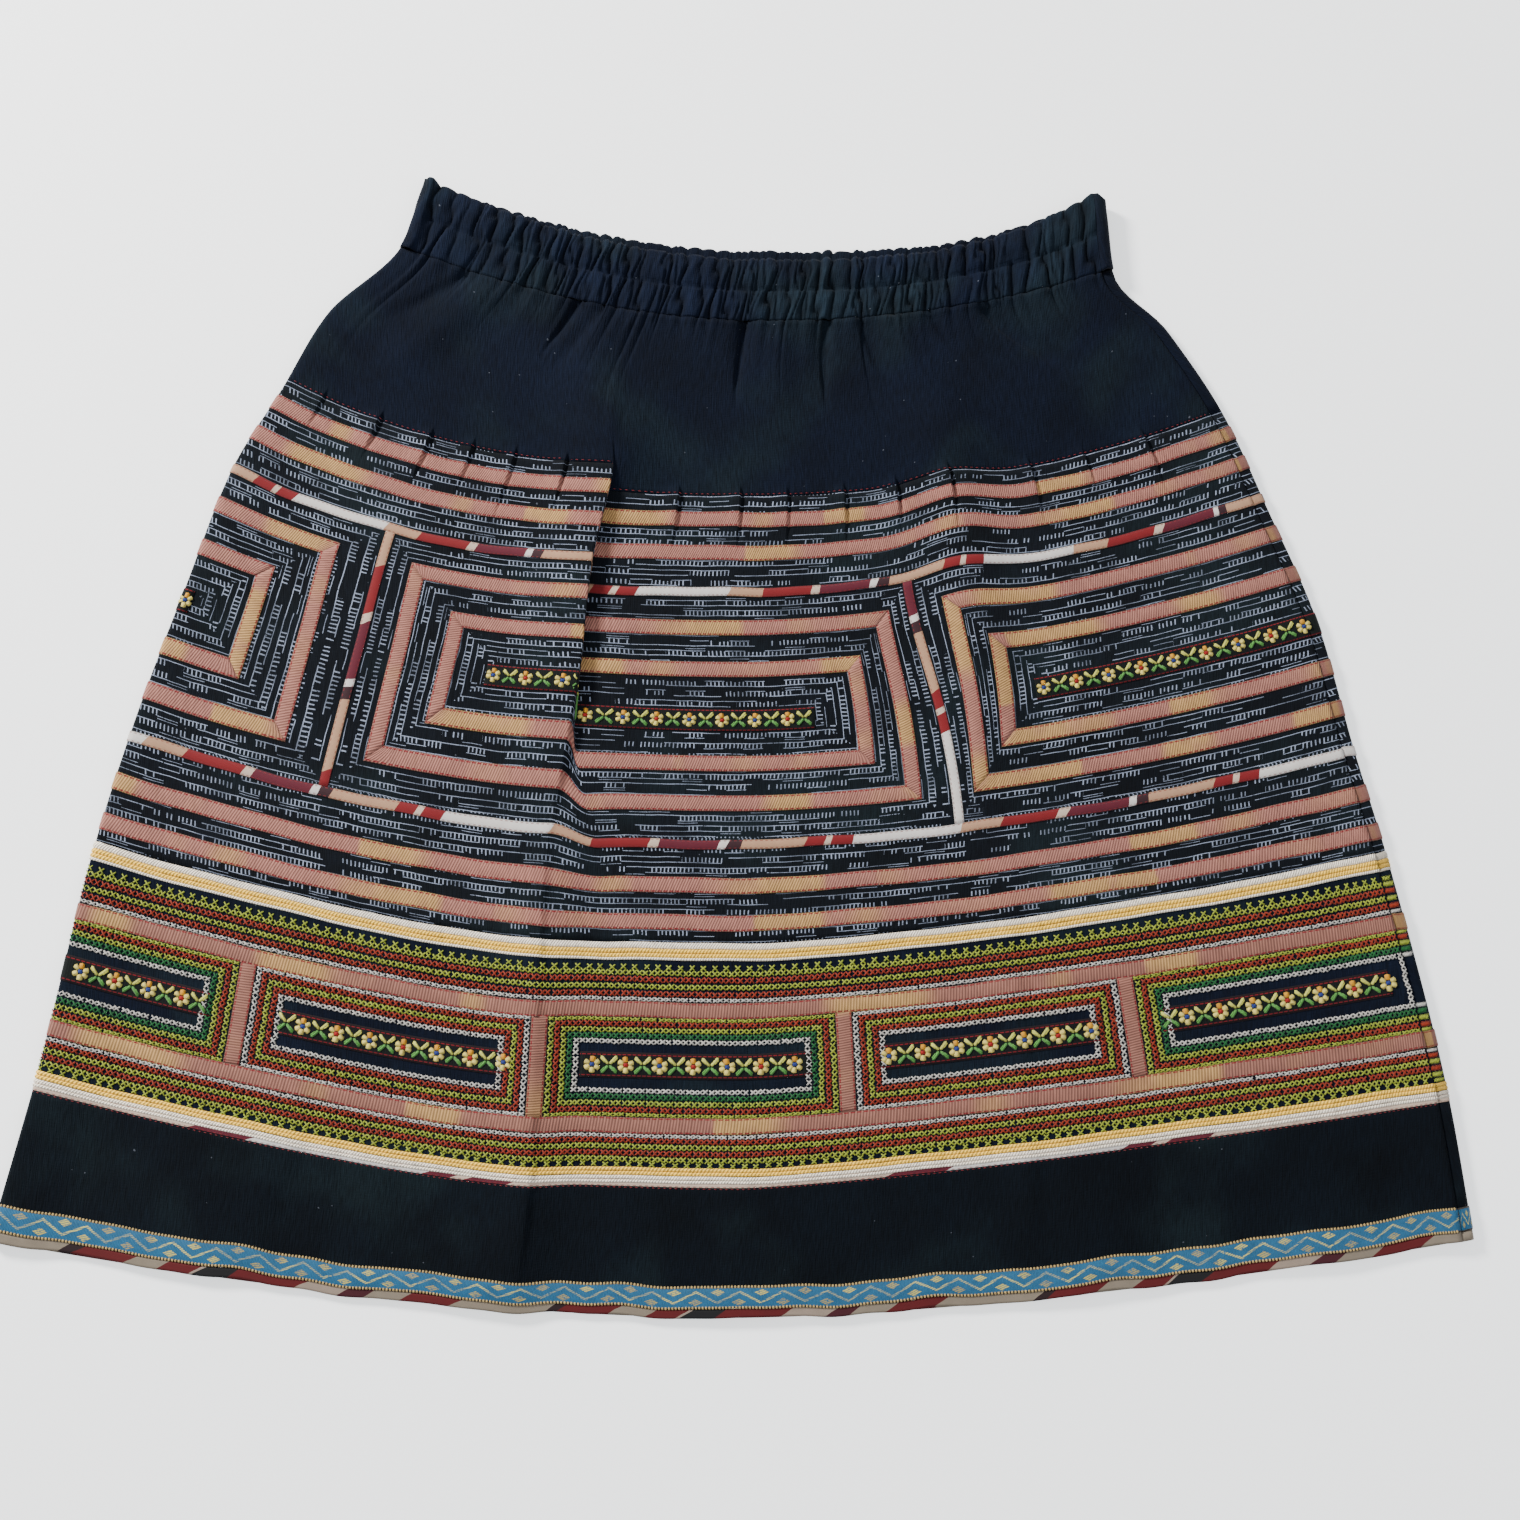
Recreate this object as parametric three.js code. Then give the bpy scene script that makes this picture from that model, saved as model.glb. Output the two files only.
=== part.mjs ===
// A gathered mini skirt with an elastic waist, lying front side up on a flat surface.
// A plain yoke carries a batik panel with ribbon applique, a cross-stitched band and a plain hem band.
// Units are millimetres: X runs across the skirt, Y towards the waist and Z up from the surface.
import * as THREE from 'three';

// Driving dimensions
const WAIST_Y = 244;
const SEAM_GAP = 0.3;
const CLOTH_GAP = 0.5;
const LOWEST_FRONT = 3;
const RIBBON_WIDTH = 8;
const RIBBON_LIFT = 0.3;
const RIBBON_THICKNESS = 0.5;
const FLOWER_THICKNESS = 0.8;
const CORD_THICKNESS = 0.9;
const SHOULDER = 9;
const SIDE_SEAM_IN = 7;
const ROLL_FADE = 20;
const EDGE_CALM = 30;
const BACK_WAIST_LIFT = 6;
const STEEPEST = 1.6;
const SLOPE_REACH = 2.5;
const NEAR = 0.2;
const TINY = 1e-6;

// Rows of values as records with named columns
const record = (columns, row) => Object.fromEntries(columns.map((name, k) => [name, row[k]]));
const table = (columns, rows) => rows.map((row) => record(columns, row));

// Sections across the skirt. down is the length below the waist's edge at the middle of the front,
// left and right are the side edges, the rises say how far a row climbs towards each side and the
// curls how late it does so. top is the front's height, roll the height at the rolled side edges.
const SECTION_COLUMNS = [
  'name', 'down', 'left', 'right', 'leftRise', 'rightRise', 'leftCurl', 'rightCurl', 'top', 'roll', 'wall',
];
const SECTIONS = table(SECTION_COLUMNS, [
  ['waist edge', 0, -162.5, 194.5, 45, 41, 1.9, 3.0, 6.4, 7.6, 1.6],
  ['waist seam', 34, -174.5, 197.5, 41, 29, 1.8, 2.2, 6.2, 7.4, 1.6],
  ['mid yoke', 80, -211, 225.5, 44, 41, 2.3, 2.0, 4.6, 6.8, 1.3],
  ['yoke seam', 127, -230.5, 251.5, 49, 45, 2.6, 2.0, 3.6, 6.4, 1.2],
  ['upper strip', 177.5, -256.5, 270.5, 51, 49.5, 2.6, 1.75, 3.4, 6.2, 1.2],
  ['flower band', 243.5, -279.5, 295.5, 47.5, 50, 2.2, 1.65, 3.2, 6, 1.2],
  ['lower strip', 306, -301.5, 310.5, 46, 47.5, 2.3, 1.7, 3.2, 6, 1.2],
  ['cord', 360, -316.5, 324.5, 45.5, 45.5, 2.1, 1.5, 3.2, 6, 1.2],
  ['stitched edge', 471, -338.5, 347.5, 44, 41.5, 2.0, 1.3, 3.2, 6, 1.2],
  ['hem', 533, -355.5, 355.5, 34, 36.5, 1.75, 1.6, 3.2, 6, 1.2],
]);

// Folds of the front. across runs from -1 at the left edge to 1 at the right, at the fold's two ends.
// left and right are its half widths, and a negative height is a trough.
const FOLD_COLUMNS = ['name', 'from', 'to', 'fadeIn', 'fadeOut', 'upper', 'lower', 'height', 'left', 'right'];
const FOLDS = table(FOLD_COLUMNS, [
  ['yoke overlap', 52, 160, 60, 60, -0.31, -0.31, 6.5, 26, 20],
  ['overlap', 100, 318, 55, 80, -0.31, -0.31, 6.5, 26, 2.2],
  ['overlap tail', 262, 560, 70, 60, -0.31, -0.3, 3.6, 34, 16],
  ['right swell', 56, 330, 60, 110, 0.43, 0.4, 4.2, 20, 17],
  ['left yoke swell', 34, 120, 12, 60, -0.72, -0.84, 2.6, 14, 12],
  ['pocket crease', 30, 64, 4, 24, -0.5, -0.51, -1.8, 6, 6],
  ['yoke swell', 34, 104, 8, 50, -0.4, -0.355, 1.8, 10, 14],
  ['middle crease', 30, 74, 4, 30, -0.03, -0.03, -1.9, 5, 5],
  ['middle swell', 34, 112, 10, 60, 0.07, 0.07, 1.6, 9, 9],
  ['right crease', 30, 78, 4, 34, 0.19, 0.18, -1.9, 5, 6],
  ['side crease', 32, 92, 6, 44, 0.63, 0.77, -1.6, 7, 9],
  ['left hem wave', 400, 570, 80, 20, -0.7, -0.73, 1.8, 40, 34],
  ['middle hem wave', 420, 570, 80, 20, 0.05, 0.02, 1.5, 30, 36],
  ['right hem wave', 330, 570, 110, 20, 0.4, 0.5, 2.2, 30, 26],
  ['side hem wave', 430, 570, 70, 20, 0.79, 0.8, 1.4, 26, 26],
]);

// Where the overlap hides a strip of cloth, the rows to its left lie higher by drop.
// Below it they sag to the fold's tail by sag, so that they run nearly straight there.
const OVERLAP_STEP = [
  { down: 34, drop: 0, spread: 0.05, sag: 0 },
  { down: 80, drop: 7, spread: 0.03, sag: 0 },
  { down: 127, drop: 13, spread: 0.016, sag: 0 },
  { down: 243.5, drop: 15, spread: 0.02, sag: 0 },
  { down: 306, drop: 9, spread: 0.08, sag: 4.5 },
  { down: 360, drop: 5, spread: 0.12, sag: 7 },
  { down: 471, drop: 3, spread: 0.13, sag: 6 },
  { down: 533, drop: 2, spread: 0.14, sag: 3 },
];
const SAG_LEFT = 0.33;
const SAG_RIGHT = 0.07;
const OVERLAP_ACROSS = -0.31;
const HUMP = { down: 155, reach: 48, across: 0.41, halfWidth: 24, height: 7 };

// Tucks that take the batik panel into the yoke seam.
const TUCKS = {
  at: [-0.92, -0.8, -0.69, -0.6, -0.51, -0.4, -0.16, -0.03, 0.07, 0.19, 0.3, 0.41, 0.585, 0.7, 0.83],
  length: 30,
  height: 1.3,
  halfWidth: 3,
};

// Trims that run all the way across: middle is their length below the waist's edge.
const ROW = {
  pinkRow1: { middle: 139.5, width: RIBBON_WIDTH },
  pinkRow2: { middle: 157, width: RIBBON_WIDTH },
  stripUpper: { middle: 177.5, width: 5 },
  ringOuterTop: { middle: 196, width: RIBBON_WIDTH },
  ringInnerTop: { middle: 217.5, width: RIBBON_WIDTH },
  flower: { middle: 243.5, width: 11 },
  ringInnerLow: { middle: 265.5, width: RIBBON_WIDTH },
  ringOuterLow: { middle: 285.5, width: RIBBON_WIDTH },
  stripLower: { middle: 306, width: 5 },
  pinkRow3: { middle: 326.5, width: RIBBON_WIDTH },
  pinkRow4: { middle: 345, width: RIBBON_WIDTH },
  cordUpper: { middle: 359.7, width: 9 },
  bandRibbonUpper: { middle: 388, width: RIBBON_WIDTH },
  frameFlower: { middle: 415, width: 12.5 },
  bandRibbonLower: { middle: 443.5, width: RIBBON_WIDTH },
  cordLower: { middle: 467, width: 7.6 },
  hemRibbon: { middle: 523.5, width: 10.5 },
};
const YOKE_SEAM = 127;
const WAIST_SEAM = 34;
const YOKE_TOP = 34.25;
const BATIK_END = 354.9;
const STITCHED_END = 471.1;
const BACK_RIBBON_TOP = 518.2;
const HEM_EDGE = 533;

// Upright sides of the applique, as [upper, lower] positions across of their left and right edges.
const UPRIGHT = {
  leftInner: { left: [-0.894, -0.888], right: [-0.866, -0.86] },
  leftOuter: { left: [-0.797, -0.786], right: [-0.768, -0.758] },
  dividerLeft: { left: [-0.694, -0.69], right: [-0.679, -0.675] },
  middleOuterLeft: { left: [-0.632, -0.63], right: [-0.602, -0.6] },
  middleInnerLeft: { left: [-0.54, -0.546], right: [-0.512, -0.518] },
  middleInnerRight: { left: [0.17, 0.195], right: [0.198, 0.223] },
  middleOuterRight: { left: [0.235, 0.269], right: [0.264, 0.297] },
  dividerRight: { left: [0.298, 0.345], right: [0.314, 0.361] },
  rightOuter: { left: [0.363, 0.38], right: [0.392, 0.409] },
  rightInner: { left: [0.436, 0.428], right: [0.464, 0.456] },
};
const FLOWER_ENDS = { middle: [-0.46, 0.115], right: [0.5] };
const EDGING_TOP = HEM_EDGE - 4.5;
const BAND_DIVIDERS = [[-0.748, -0.724], [OVERLAP_ACROSS, -0.286], [0.14, 0.164], [0.56, 0.584]];
const BAND_FLOWERS = [[-1, -0.779], [-0.678, -0.336], [-0.237, 0.103], [0.197, 0.532], [0.615, 0.93]];
const FILL_STEP = 0.08;

// Waistband: doubled cloth gathered on two rows of elastic. sink says how far each row lies below
// the fullest one on the front, and backSink on the back.
const WAISTBAND = {
  gathers: 45,
  top: 9.6,
  roll: 11.6,
  wall: 3.8,
  inside: 4.6,
  backTop: 3.2,
  depth: 2,
  backDepth: 0.9,
  scallop: 1.1,
  rows: [
    { down: 0, sink: 2.0, backSink: 0.4 },
    { down: 9, sink: 0, backSink: 0 },
    { down: 17, sink: 1.8, backSink: 0.5 },
    { down: 25.5, sink: 0.1, backSink: 0 },
    { down: 34, sink: 2.0, backSink: 0.5 },
  ],
};

// Materials
const COLOURS = {
  cloth: 0x181e26,
  batik: 0x39414f,
  stitched: 0x6a6a22,
  pink: 0xbe8778,
  print: 0x9c2f2a,
  flower: 0xd6c25a,
  cord: 0xe6cf9a,
  hemRibbon: 0x2a68a0,
};
function material(name) {
  return new THREE.MeshStandardMaterial({ color: COLOURS[name], roughness: 0.85, metalness: 0 });
}

// Small helpers
const clamp01 = (t) => Math.min(1, Math.max(0, t));
const smooth = (t) => clamp01(t) ** 2 * (3 - 2 * clamp01(t));
const lerp = (a, b, t) => a + (b - a) * t;

// A repeatable number between 0 and 1 for each pair of a count and a seed
function scatter(count, seed) {
  const value = Math.sin(count * 12.9898 + seed * 78.233) * 43758.5453;
  return value - Math.floor(value);
}

// Value of one column of a table at a length down, on a smooth curve through its rows
function smoothColumn(rows, column, down) {
  const last = rows.length - 1;
  if (down <= rows[0].down) return rows[0][column];
  if (down >= rows[last].down) return rows[last][column];
  const k = rows.findIndex((row) => row.down > down) - 1;
  const slope = (i) => (rows[i + 1][column] - rows[i][column]) / (rows[i + 1].down - rows[i].down);
  const tangent = (i) => {
    if (i === 0) return slope(0);
    if (i === last) return slope(last - 1);
    const before = slope(i - 1);
    const after = slope(i);
    return before * after <= 0 ? 0 : (2 * before * after) / (before + after);
  };
  const span = rows[k + 1].down - rows[k].down;
  const t = (down - rows[k].down) / span;
  const start = (1 + 2 * t) * (1 - t) ** 2 * rows[k][column] + t * (1 - t) ** 2 * span * tangent(k);
  return start + t * t * (3 - 2 * t) * rows[k + 1][column] + t * t * (t - 1) * span * tangent(k + 1);
}

// All measures of the skirt at a length down
function sectionAt(down) {
  const section = {};
  for (const column of Object.keys(SECTIONS[0])) {
    if (column !== 'name' && column !== 'down') section[column] = smoothColumn(SECTIONS, column, down);
  }
  section.middle = (section.left + section.right) / 2;
  section.half = (section.right - section.left) / 2;
  section.drop = smoothColumn(OVERLAP_STEP, 'drop', down);
  section.spread = smoothColumn(OVERLAP_STEP, 'spread', down);
  section.sag = smoothColumn(OVERLAP_STEP, 'sag', down);
  return section;
}

// How far a row climbs above its middle on the front
function frontRise(across, down, section) {
  const side = across < 0 ? 'left' : 'right';
  const climb = section[`${side}Rise`] * Math.abs(across) ** section[`${side}Curl`];
  const step = section.drop * (1 - smooth((across - OVERLAP_ACROSS) / section.spread));
  const fromFold = across - OVERLAP_ACROSS;
  const sag = section.sag * Math.exp(-((fromFold / (fromFold < 0 ? SAG_LEFT : SAG_RIGHT)) ** 2));
  const humpAway = ((across - HUMP.across) * section.half) / HUMP.halfWidth;
  const humpDown = (down - HUMP.down) / HUMP.reach;
  return climb + step - sag + HUMP.height * Math.exp(-(humpAway ** 2) - humpDown ** 2);
}

// The same on the back, which has no overlap and stands a little higher at the waist
function backRise(across, down, section) {
  const rise = across < 0 ? section.leftRise + section.drop : section.rightRise;
  const curl = across < 0 ? section.leftCurl : section.rightCurl;
  const lift = BACK_WAIST_LIFT * (1 - smooth(down / YOKE_SEAM)) * (1 - across * across);
  return rise * Math.abs(across) ** curl + lift;
}

// Height of the folds above the front
function foldHeight(across, down, section) {
  let height = 0;
  for (const fold of FOLDS) {
    const along = (down - fold.from) / (fold.to - fold.from);
    if (along <= 0 || along >= 1) continue;
    const fade = smooth((down - fold.from) / fold.fadeIn) * smooth((fold.to - down) / fold.fadeOut);
    const away = (across - lerp(fold.upper, fold.lower, along)) * section.half;
    const reach = away < 0 ? fold.left : fold.right;
    height += fold.height * fade * Math.exp(-((away / reach) ** 2));
  }
  if (down >= YOKE_SEAM && down < YOKE_SEAM + TUCKS.length) {
    const fade = 1 - smooth((down - YOKE_SEAM) / TUCKS.length);
    for (const at of TUCKS.at) {
      const away = ((across - at) * section.half) / TUCKS.halfWidth;
      height += TUCKS.height * fade * Math.exp(-(away ** 2));
    }
  }
  return height;
}

// Height of the front's face at a place x, and the upright depth of the cloth there
function frontHeight(x, down, section) {
  const across = (x - section.middle) / section.half;
  const inwards = section.half - Math.abs(x - section.middle);
  const beyondRoll = Math.max(0, inwards - section.roll / 2);
  const roll = (section.roll - section.top) * Math.exp(-((beyondRoll / ROLL_FADE) ** 2));
  const calm = smooth(beyondRoll / EDGE_CALM);
  return Math.max(LOWEST_FRONT, section.top + roll + calm * foldHeight(across, down, section));
}

function steepness(x, down, section) {
  const climb = frontHeight(x + SLOPE_REACH, down, section) - frontHeight(x - SLOPE_REACH, down, section);
  return Math.min(STEEPEST, Math.hypot(1, climb / (2 * SLOPE_REACH)));
}

// A point of a rolled side edge: turn is its angle in degrees, riseAt says how the row climbs there
// and outwards moves it away from the cloth
function rollPoint(side, turn, down, section, riseAt, outwards) {
  const radius = section.roll / 2;
  const angle = THREE.MathUtils.degToRad(turn);
  const centre = side < 0 ? section.left + radius : section.right - radius;
  const across = (centre + radius * Math.cos(angle) - section.middle) / section.half;
  const reach = radius + outwards;
  const y = WAIST_Y - down + riseAt(across, down, section);
  return [centre + reach * Math.cos(angle), y, radius + reach * Math.sin(angle)];
}

// Columns of a front panel, from the left edge to the side seam
const LEFT_ROLL = [180, 135, 90].map((turn) => ({ kind: 'roll', turn }));
const SEAM_OPENING = SEAM_GAP / 2;
const LAST_PLACE = 0.93;
function frontColumns(places) {
  const sorted = [...places].sort((a, b) => a.upper - b.upper);
  const columns = [...LEFT_ROLL, { kind: 'left', inwards: SHOULDER }];
  let before = { upper: -LAST_PLACE, lower: -LAST_PLACE };
  columns.push({ kind: 'across', ...before });
  for (const place of [...sorted, { upper: LAST_PLACE, lower: LAST_PLACE }]) {
    const count = Math.ceil((place.upper - before.upper) / FILL_STEP);
    for (let k = 1; k < count; k += 1) {
      columns.push({
        kind: 'across',
        upper: lerp(before.upper, place.upper, k / count),
        lower: lerp(before.lower, place.lower, k / count),
      });
    }
    columns.push({ kind: 'across', ...place });
    before = place;
  }
  columns.push({ kind: 'right', inwards: SIDE_SEAM_IN + SEAM_OPENING });
  return columns;
}

// Back panels, whose hem ribbon lies in the wall because the skirt rests on that side
const BACK_PANELS = [
  { name: 'yoke_back', from: YOKE_TOP, to: YOKE_SEAM, step: 32, look: 'cloth' },
  { name: 'batik_back', from: YOKE_SEAM, to: BATIK_END, step: 58, look: 'batik' },
  { name: 'embroidery_back', from: BATIK_END, to: STITCHED_END, step: 60, look: 'stitched' },
  { name: 'hem_band_back', from: STITCHED_END, to: BACK_RIBBON_TOP, step: 60, look: 'cloth' },
  { name: 'hem_ribbon_back', from: BACK_RIBBON_TOP, to: EDGING_TOP, step: 20, look: 'hemRibbon' },
  { name: 'hem_edging_back', from: EDGING_TOP, to: HEM_EDGE, step: 10, look: 'print' },
];

// A point of the side seam, straight between the rows of the back so that both panels meet evenly
function onSideSeam(inwards, down, outwards) {
  const seamPoint = (at) => {
    const section = sectionAt(at);
    const x = section.right - inwards;
    const across = (x - section.middle) / section.half;
    const y = WAIST_Y - at + frontRise(across, at, section);
    return [x, y, frontHeight(x, at, section) + outwards];
  };
  const knots = BACK_PANELS.flatMap(({ from, to, step }) => panelRows(from, to, [], step));
  const next = Math.max(1, knots.findIndex((knot) => knot >= down - TINY));
  const [start, end] = [knots[next - 1], knots[next]];
  const [low, high] = [seamPoint(start), seamPoint(end)];
  return low.map((value, k) => lerp(value, high[k], (down - start) / (end - start)));
}

// The front's face at a column, moved out by some amount
function frontPoint(column, down, outwards) {
  if (column.kind === 'right') return onSideSeam(column.inwards, down, outwards);
  const section = sectionAt(down);
  if (column.kind === 'roll') {
    const point = rollPoint(-1, column.turn, down, section, frontRise, outwards);
    if (column.turn === 180) point[2] += SEAM_OPENING;
    return point;
  }
  const leaning = smooth((down - ROW.stripUpper.middle) / (ROW.stripLower.middle - ROW.stripUpper.middle));
  let x = section.middle + section.half * lerp(column.upper, column.lower, leaning);
  if (column.kind === 'left') x = section.left + column.inwards;
  const across = (x - section.middle) / section.half;
  const face = frontHeight(x, down, section);
  const z = face + outwards * steepness(x, down, section);
  const floor = section.wall + CLOTH_GAP;
  return [x, WAIST_Y - down + frontRise(across, down, section), Math.max(z, floor)];
}

// Columns of a back panel, from the left edge underneath to the side seam on top
const BACK_FILL = 22;
const BACK_LAST_PLACE = 0.96;
function backColumns() {
  const columns = [180, 225, 270].map((turn) => ({ kind: 'roll', side: -1, turn }));
  for (let k = 1; k < BACK_FILL; k += 1) {
    columns.push({ kind: 'across', across: lerp(-BACK_LAST_PLACE, BACK_LAST_PLACE, k / BACK_FILL) });
  }
  for (const turn of [270, 315, 360, 405, 450]) columns.push({ kind: 'roll', side: 1, turn });
  columns.push({ kind: 'top', inwards: SIDE_SEAM_IN - SEAM_OPENING });
  return columns;
}

// The back's outer face at a column: it lies flat on the surface between its rolled edges
function backPoint(column, down, outwards) {
  if (column.kind === 'top') return onSideSeam(column.inwards, down, outwards);
  const section = sectionAt(down);
  if (column.kind === 'roll') {
    const point = rollPoint(column.side, column.turn, down, section, backRise, outwards);
    if (column.side < 0 && column.turn === 180) point[2] -= SEAM_OPENING;
    return point;
  }
  const x = section.middle + section.half * column.across;
  return [x, WAIST_Y - down + backRise(column.across, down, section), -outwards];
}

// Rows of a panel between two lengths down: the edges of its trims, with more where they lie far apart
function panelRows(start, end, trims, step) {
  const edges = trims.flatMap((trim) => [trim.middle - trim.width / 2, trim.middle + trim.width / 2]);
  const inside = edges.filter((edge) => edge > start + 1 && edge < end - 1);
  const marks = [start + SEAM_OPENING, ...inside.sort((a, b) => a - b), end - SEAM_OPENING];
  const rows = [marks[0]];
  for (const mark of marks.slice(1)) {
    const before = rows[rows.length - 1];
    const count = Math.ceil((mark - before) / step);
    for (let k = 1; k < count; k += 1) rows.push(lerp(before, mark, k / count));
    rows.push(mark);
  }
  return rows;
}

// A closed solid from its points and triangles, turned so that its faces point out
function closedSolid(points, faces) {
  let volume = 0;
  for (const [a, b, c] of faces) {
    const normal = new THREE.Vector3(...points[b]).cross(new THREE.Vector3(...points[c]));
    volume += new THREE.Vector3(...points[a]).dot(normal);
  }
  const turned = volume < 0 ? faces.map(([a, b, c]) => [a, c, b]) : faces;
  const geometry = new THREE.BufferGeometry();
  geometry.setAttribute('position', new THREE.Float32BufferAttribute(points.flat(), 3));
  geometry.setIndex(turned.flat());
  geometry.computeVertexNormals();
  return geometry;
}

// Indices 0, step, 2 step ... that always end on the last one
function thinned(count, step) {
  const kept = [];
  for (let k = 0; k < count - 1; k += step) kept.push(k);
  kept.push(count - 1);
  return kept;
}

// The four corners of a grid's cell
const cellCorners = (i, j) => [[i, j], [i, j + 1], [i + 1, j], [i + 1, j + 1]];

// A cloth panel: a fine grid on one face, a coarser grid on the other and a rim around both.
// fine and coarse give the point at a row and column, and the coarse grid keeps some of the fine lines.
function clothPanel(rowCount, columnCount, fine, coarse, keptRows, keptColumns) {
  const points = [];
  const faces = [];
  const number = new Map();
  const corner = (face, i, j) => {
    const key = `${face} ${i} ${j}`;
    if (!number.has(key)) {
      number.set(key, points.length);
      points.push(face === 'fine' ? fine(i, j) : coarse(i, j));
    }
    return number.get(key);
  };
  for (let i = 0; i + 1 < rowCount; i += 1) {
    for (let j = 0; j + 1 < columnCount; j += 1) {
      const [a, b, c, d] = cellCorners(i, j).map(([r, s]) => corner('fine', r, s));
      faces.push([a, c, d], [a, d, b]);
    }
  }
  for (let m = 0; m + 1 < keptRows.length; m += 1) {
    for (let n = 0; n + 1 < keptColumns.length; n += 1) {
      const [i, k] = [keptRows[m], keptRows[m + 1]];
      const [j, l] = [keptColumns[n], keptColumns[n + 1]];
      const [a, b, c, d] = [[i, j], [i, l], [k, j], [k, l]].map(([r, s]) => corner('coarse', r, s));
      faces.push([a, d, c], [a, b, d]);
    }
  }
  // A fan joins each coarse edge of the rim to the fine edges beside it
  const fan = (place, kept, turned) => {
    for (let m = 0; m + 1 < kept.length; m += 1) {
      const start = corner('coarse', ...place(kept[m]));
      const end = corner('coarse', ...place(kept[m + 1]));
      for (let k = kept[m]; k < kept[m + 1]; k += 1) {
        const edge = [corner('fine', ...place(k)), corner('fine', ...place(k + 1))];
        faces.push(turned ? [start, edge[1], edge[0]] : [start, edge[0], edge[1]]);
      }
      const lastFine = corner('fine', ...place(kept[m + 1]));
      faces.push(turned ? [start, end, lastFine] : [start, lastFine, end]);
    }
  };
  fan((j) => [0, j], keptColumns, false);
  fan((j) => [rowCount - 1, j], keptColumns, true);
  fan((i) => [i, 0], keptRows, true);
  fan((i) => [i, columnCount - 1], keptRows, false);
  return closedSolid(points, faces);
}

// A trim on a front panel: the cells that it covers, moved out, with walls along its outline.
// inset draws its first and last rows in, where it ends against another trim.
function trimSolid(panel, cells, thickness, inset) {
  const covered = new Set(cells.map(([i, j]) => `${i} ${j}`));
  const rowsUsed = cells.map(([i]) => i);
  const firstRow = Math.min(...rowsUsed);
  const lastRow = Math.max(...rowsUsed) + 1;
  const rowDown = (i) => {
    if (i === firstRow) return panel.rows[i] + inset;
    if (i === lastRow) return panel.rows[i] - inset;
    return panel.rows[i];
  };
  const points = [];
  const faces = [];
  const number = new Map();
  const corner = (level, i, j) => {
    const key = `${level} ${i} ${j}`;
    if (!number.has(key)) {
      number.set(key, points.length);
      points.push(frontPoint(panel.columns[j], rowDown(i), RIBBON_LIFT + level * thickness));
    }
    return number.get(key);
  };
  const wall = (i, j, k, l) => {
    const [a, b] = [corner(1, i, j), corner(1, k, l)];
    const [c, d] = [corner(0, i, j), corner(0, k, l)];
    faces.push([a, c, d], [a, d, b]);
  };
  for (const [i, j] of cells) {
    for (const level of [1, 0]) {
      const [a, b, c, d] = cellCorners(i, j).map(([r, s]) => corner(level, r, s));
      faces.push(...(level ? [[a, c, d], [a, d, b]] : [[a, d, c], [a, b, d]]));
    }
    if (!covered.has(`${i - 1} ${j}`)) wall(i, j + 1, i, j);
    if (!covered.has(`${i + 1} ${j}`)) wall(i + 1, j, i + 1, j + 1);
    if (!covered.has(`${i} ${j - 1}`)) wall(i, j, i + 1, j);
    if (!covered.has(`${i} ${j + 1}`)) wall(i + 1, j + 1, i, j + 1);
  }
  return closedSolid(points, faces);
}

// Group that the pieces are added to
const skirt = new THREE.Group();
skirt.name = 'mini_skirt';
function addPiece(name, geometry, look) {
  const mesh = new THREE.Mesh(geometry, material(look));
  mesh.name = name;
  skirt.add(mesh);
}

// Grids of the front
const upright = (edge) => ({ upper: edge[0], lower: edge[1] });
const straight = (across) => ({ upper: across, lower: across });
const OVERLAP_COLUMNS = [-0.4, -0.355, OVERLAP_ACROSS, -0.294, -0.25, -0.2].map(straight);
const batikPlaces = [
  ...Object.values(UPRIGHT).flatMap(({ left, right }) => [upright(left), upright(right)]),
  ...OVERLAP_COLUMNS,
  ...[...FLOWER_ENDS.middle, ...FLOWER_ENDS.right, -0.13, -0.03, 0.05, 0.585, 0.7, 0.83].map(straight),
];
const bandPlaces = [
  ...BAND_DIVIDERS.flat(),
  ...BAND_FLOWERS.flat().filter((across) => Math.abs(across) < LAST_PLACE),
  ...[-0.26, -0.2],
].map(straight);
const BATIK_TRIMS = ['pinkRow1', 'pinkRow2', 'stripUpper', 'ringOuterTop', 'ringInnerTop', 'flower'];
const BATIK_LOW_TRIMS = ['ringInnerLow', 'ringOuterLow', 'stripLower', 'pinkRow3', 'pinkRow4'];
const BAND_TRIMS = ['cordUpper', 'bandRibbonUpper', 'frameFlower', 'bandRibbonLower', 'cordLower'];
const ROW_STEP = { yoke: 19, batik: 30, band: 25 };
const trims = (names) => names.map((name) => ROW[name]);
const batikColumns = frontColumns(batikPlaces);
const bandColumns = frontColumns(bandPlaces);
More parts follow.
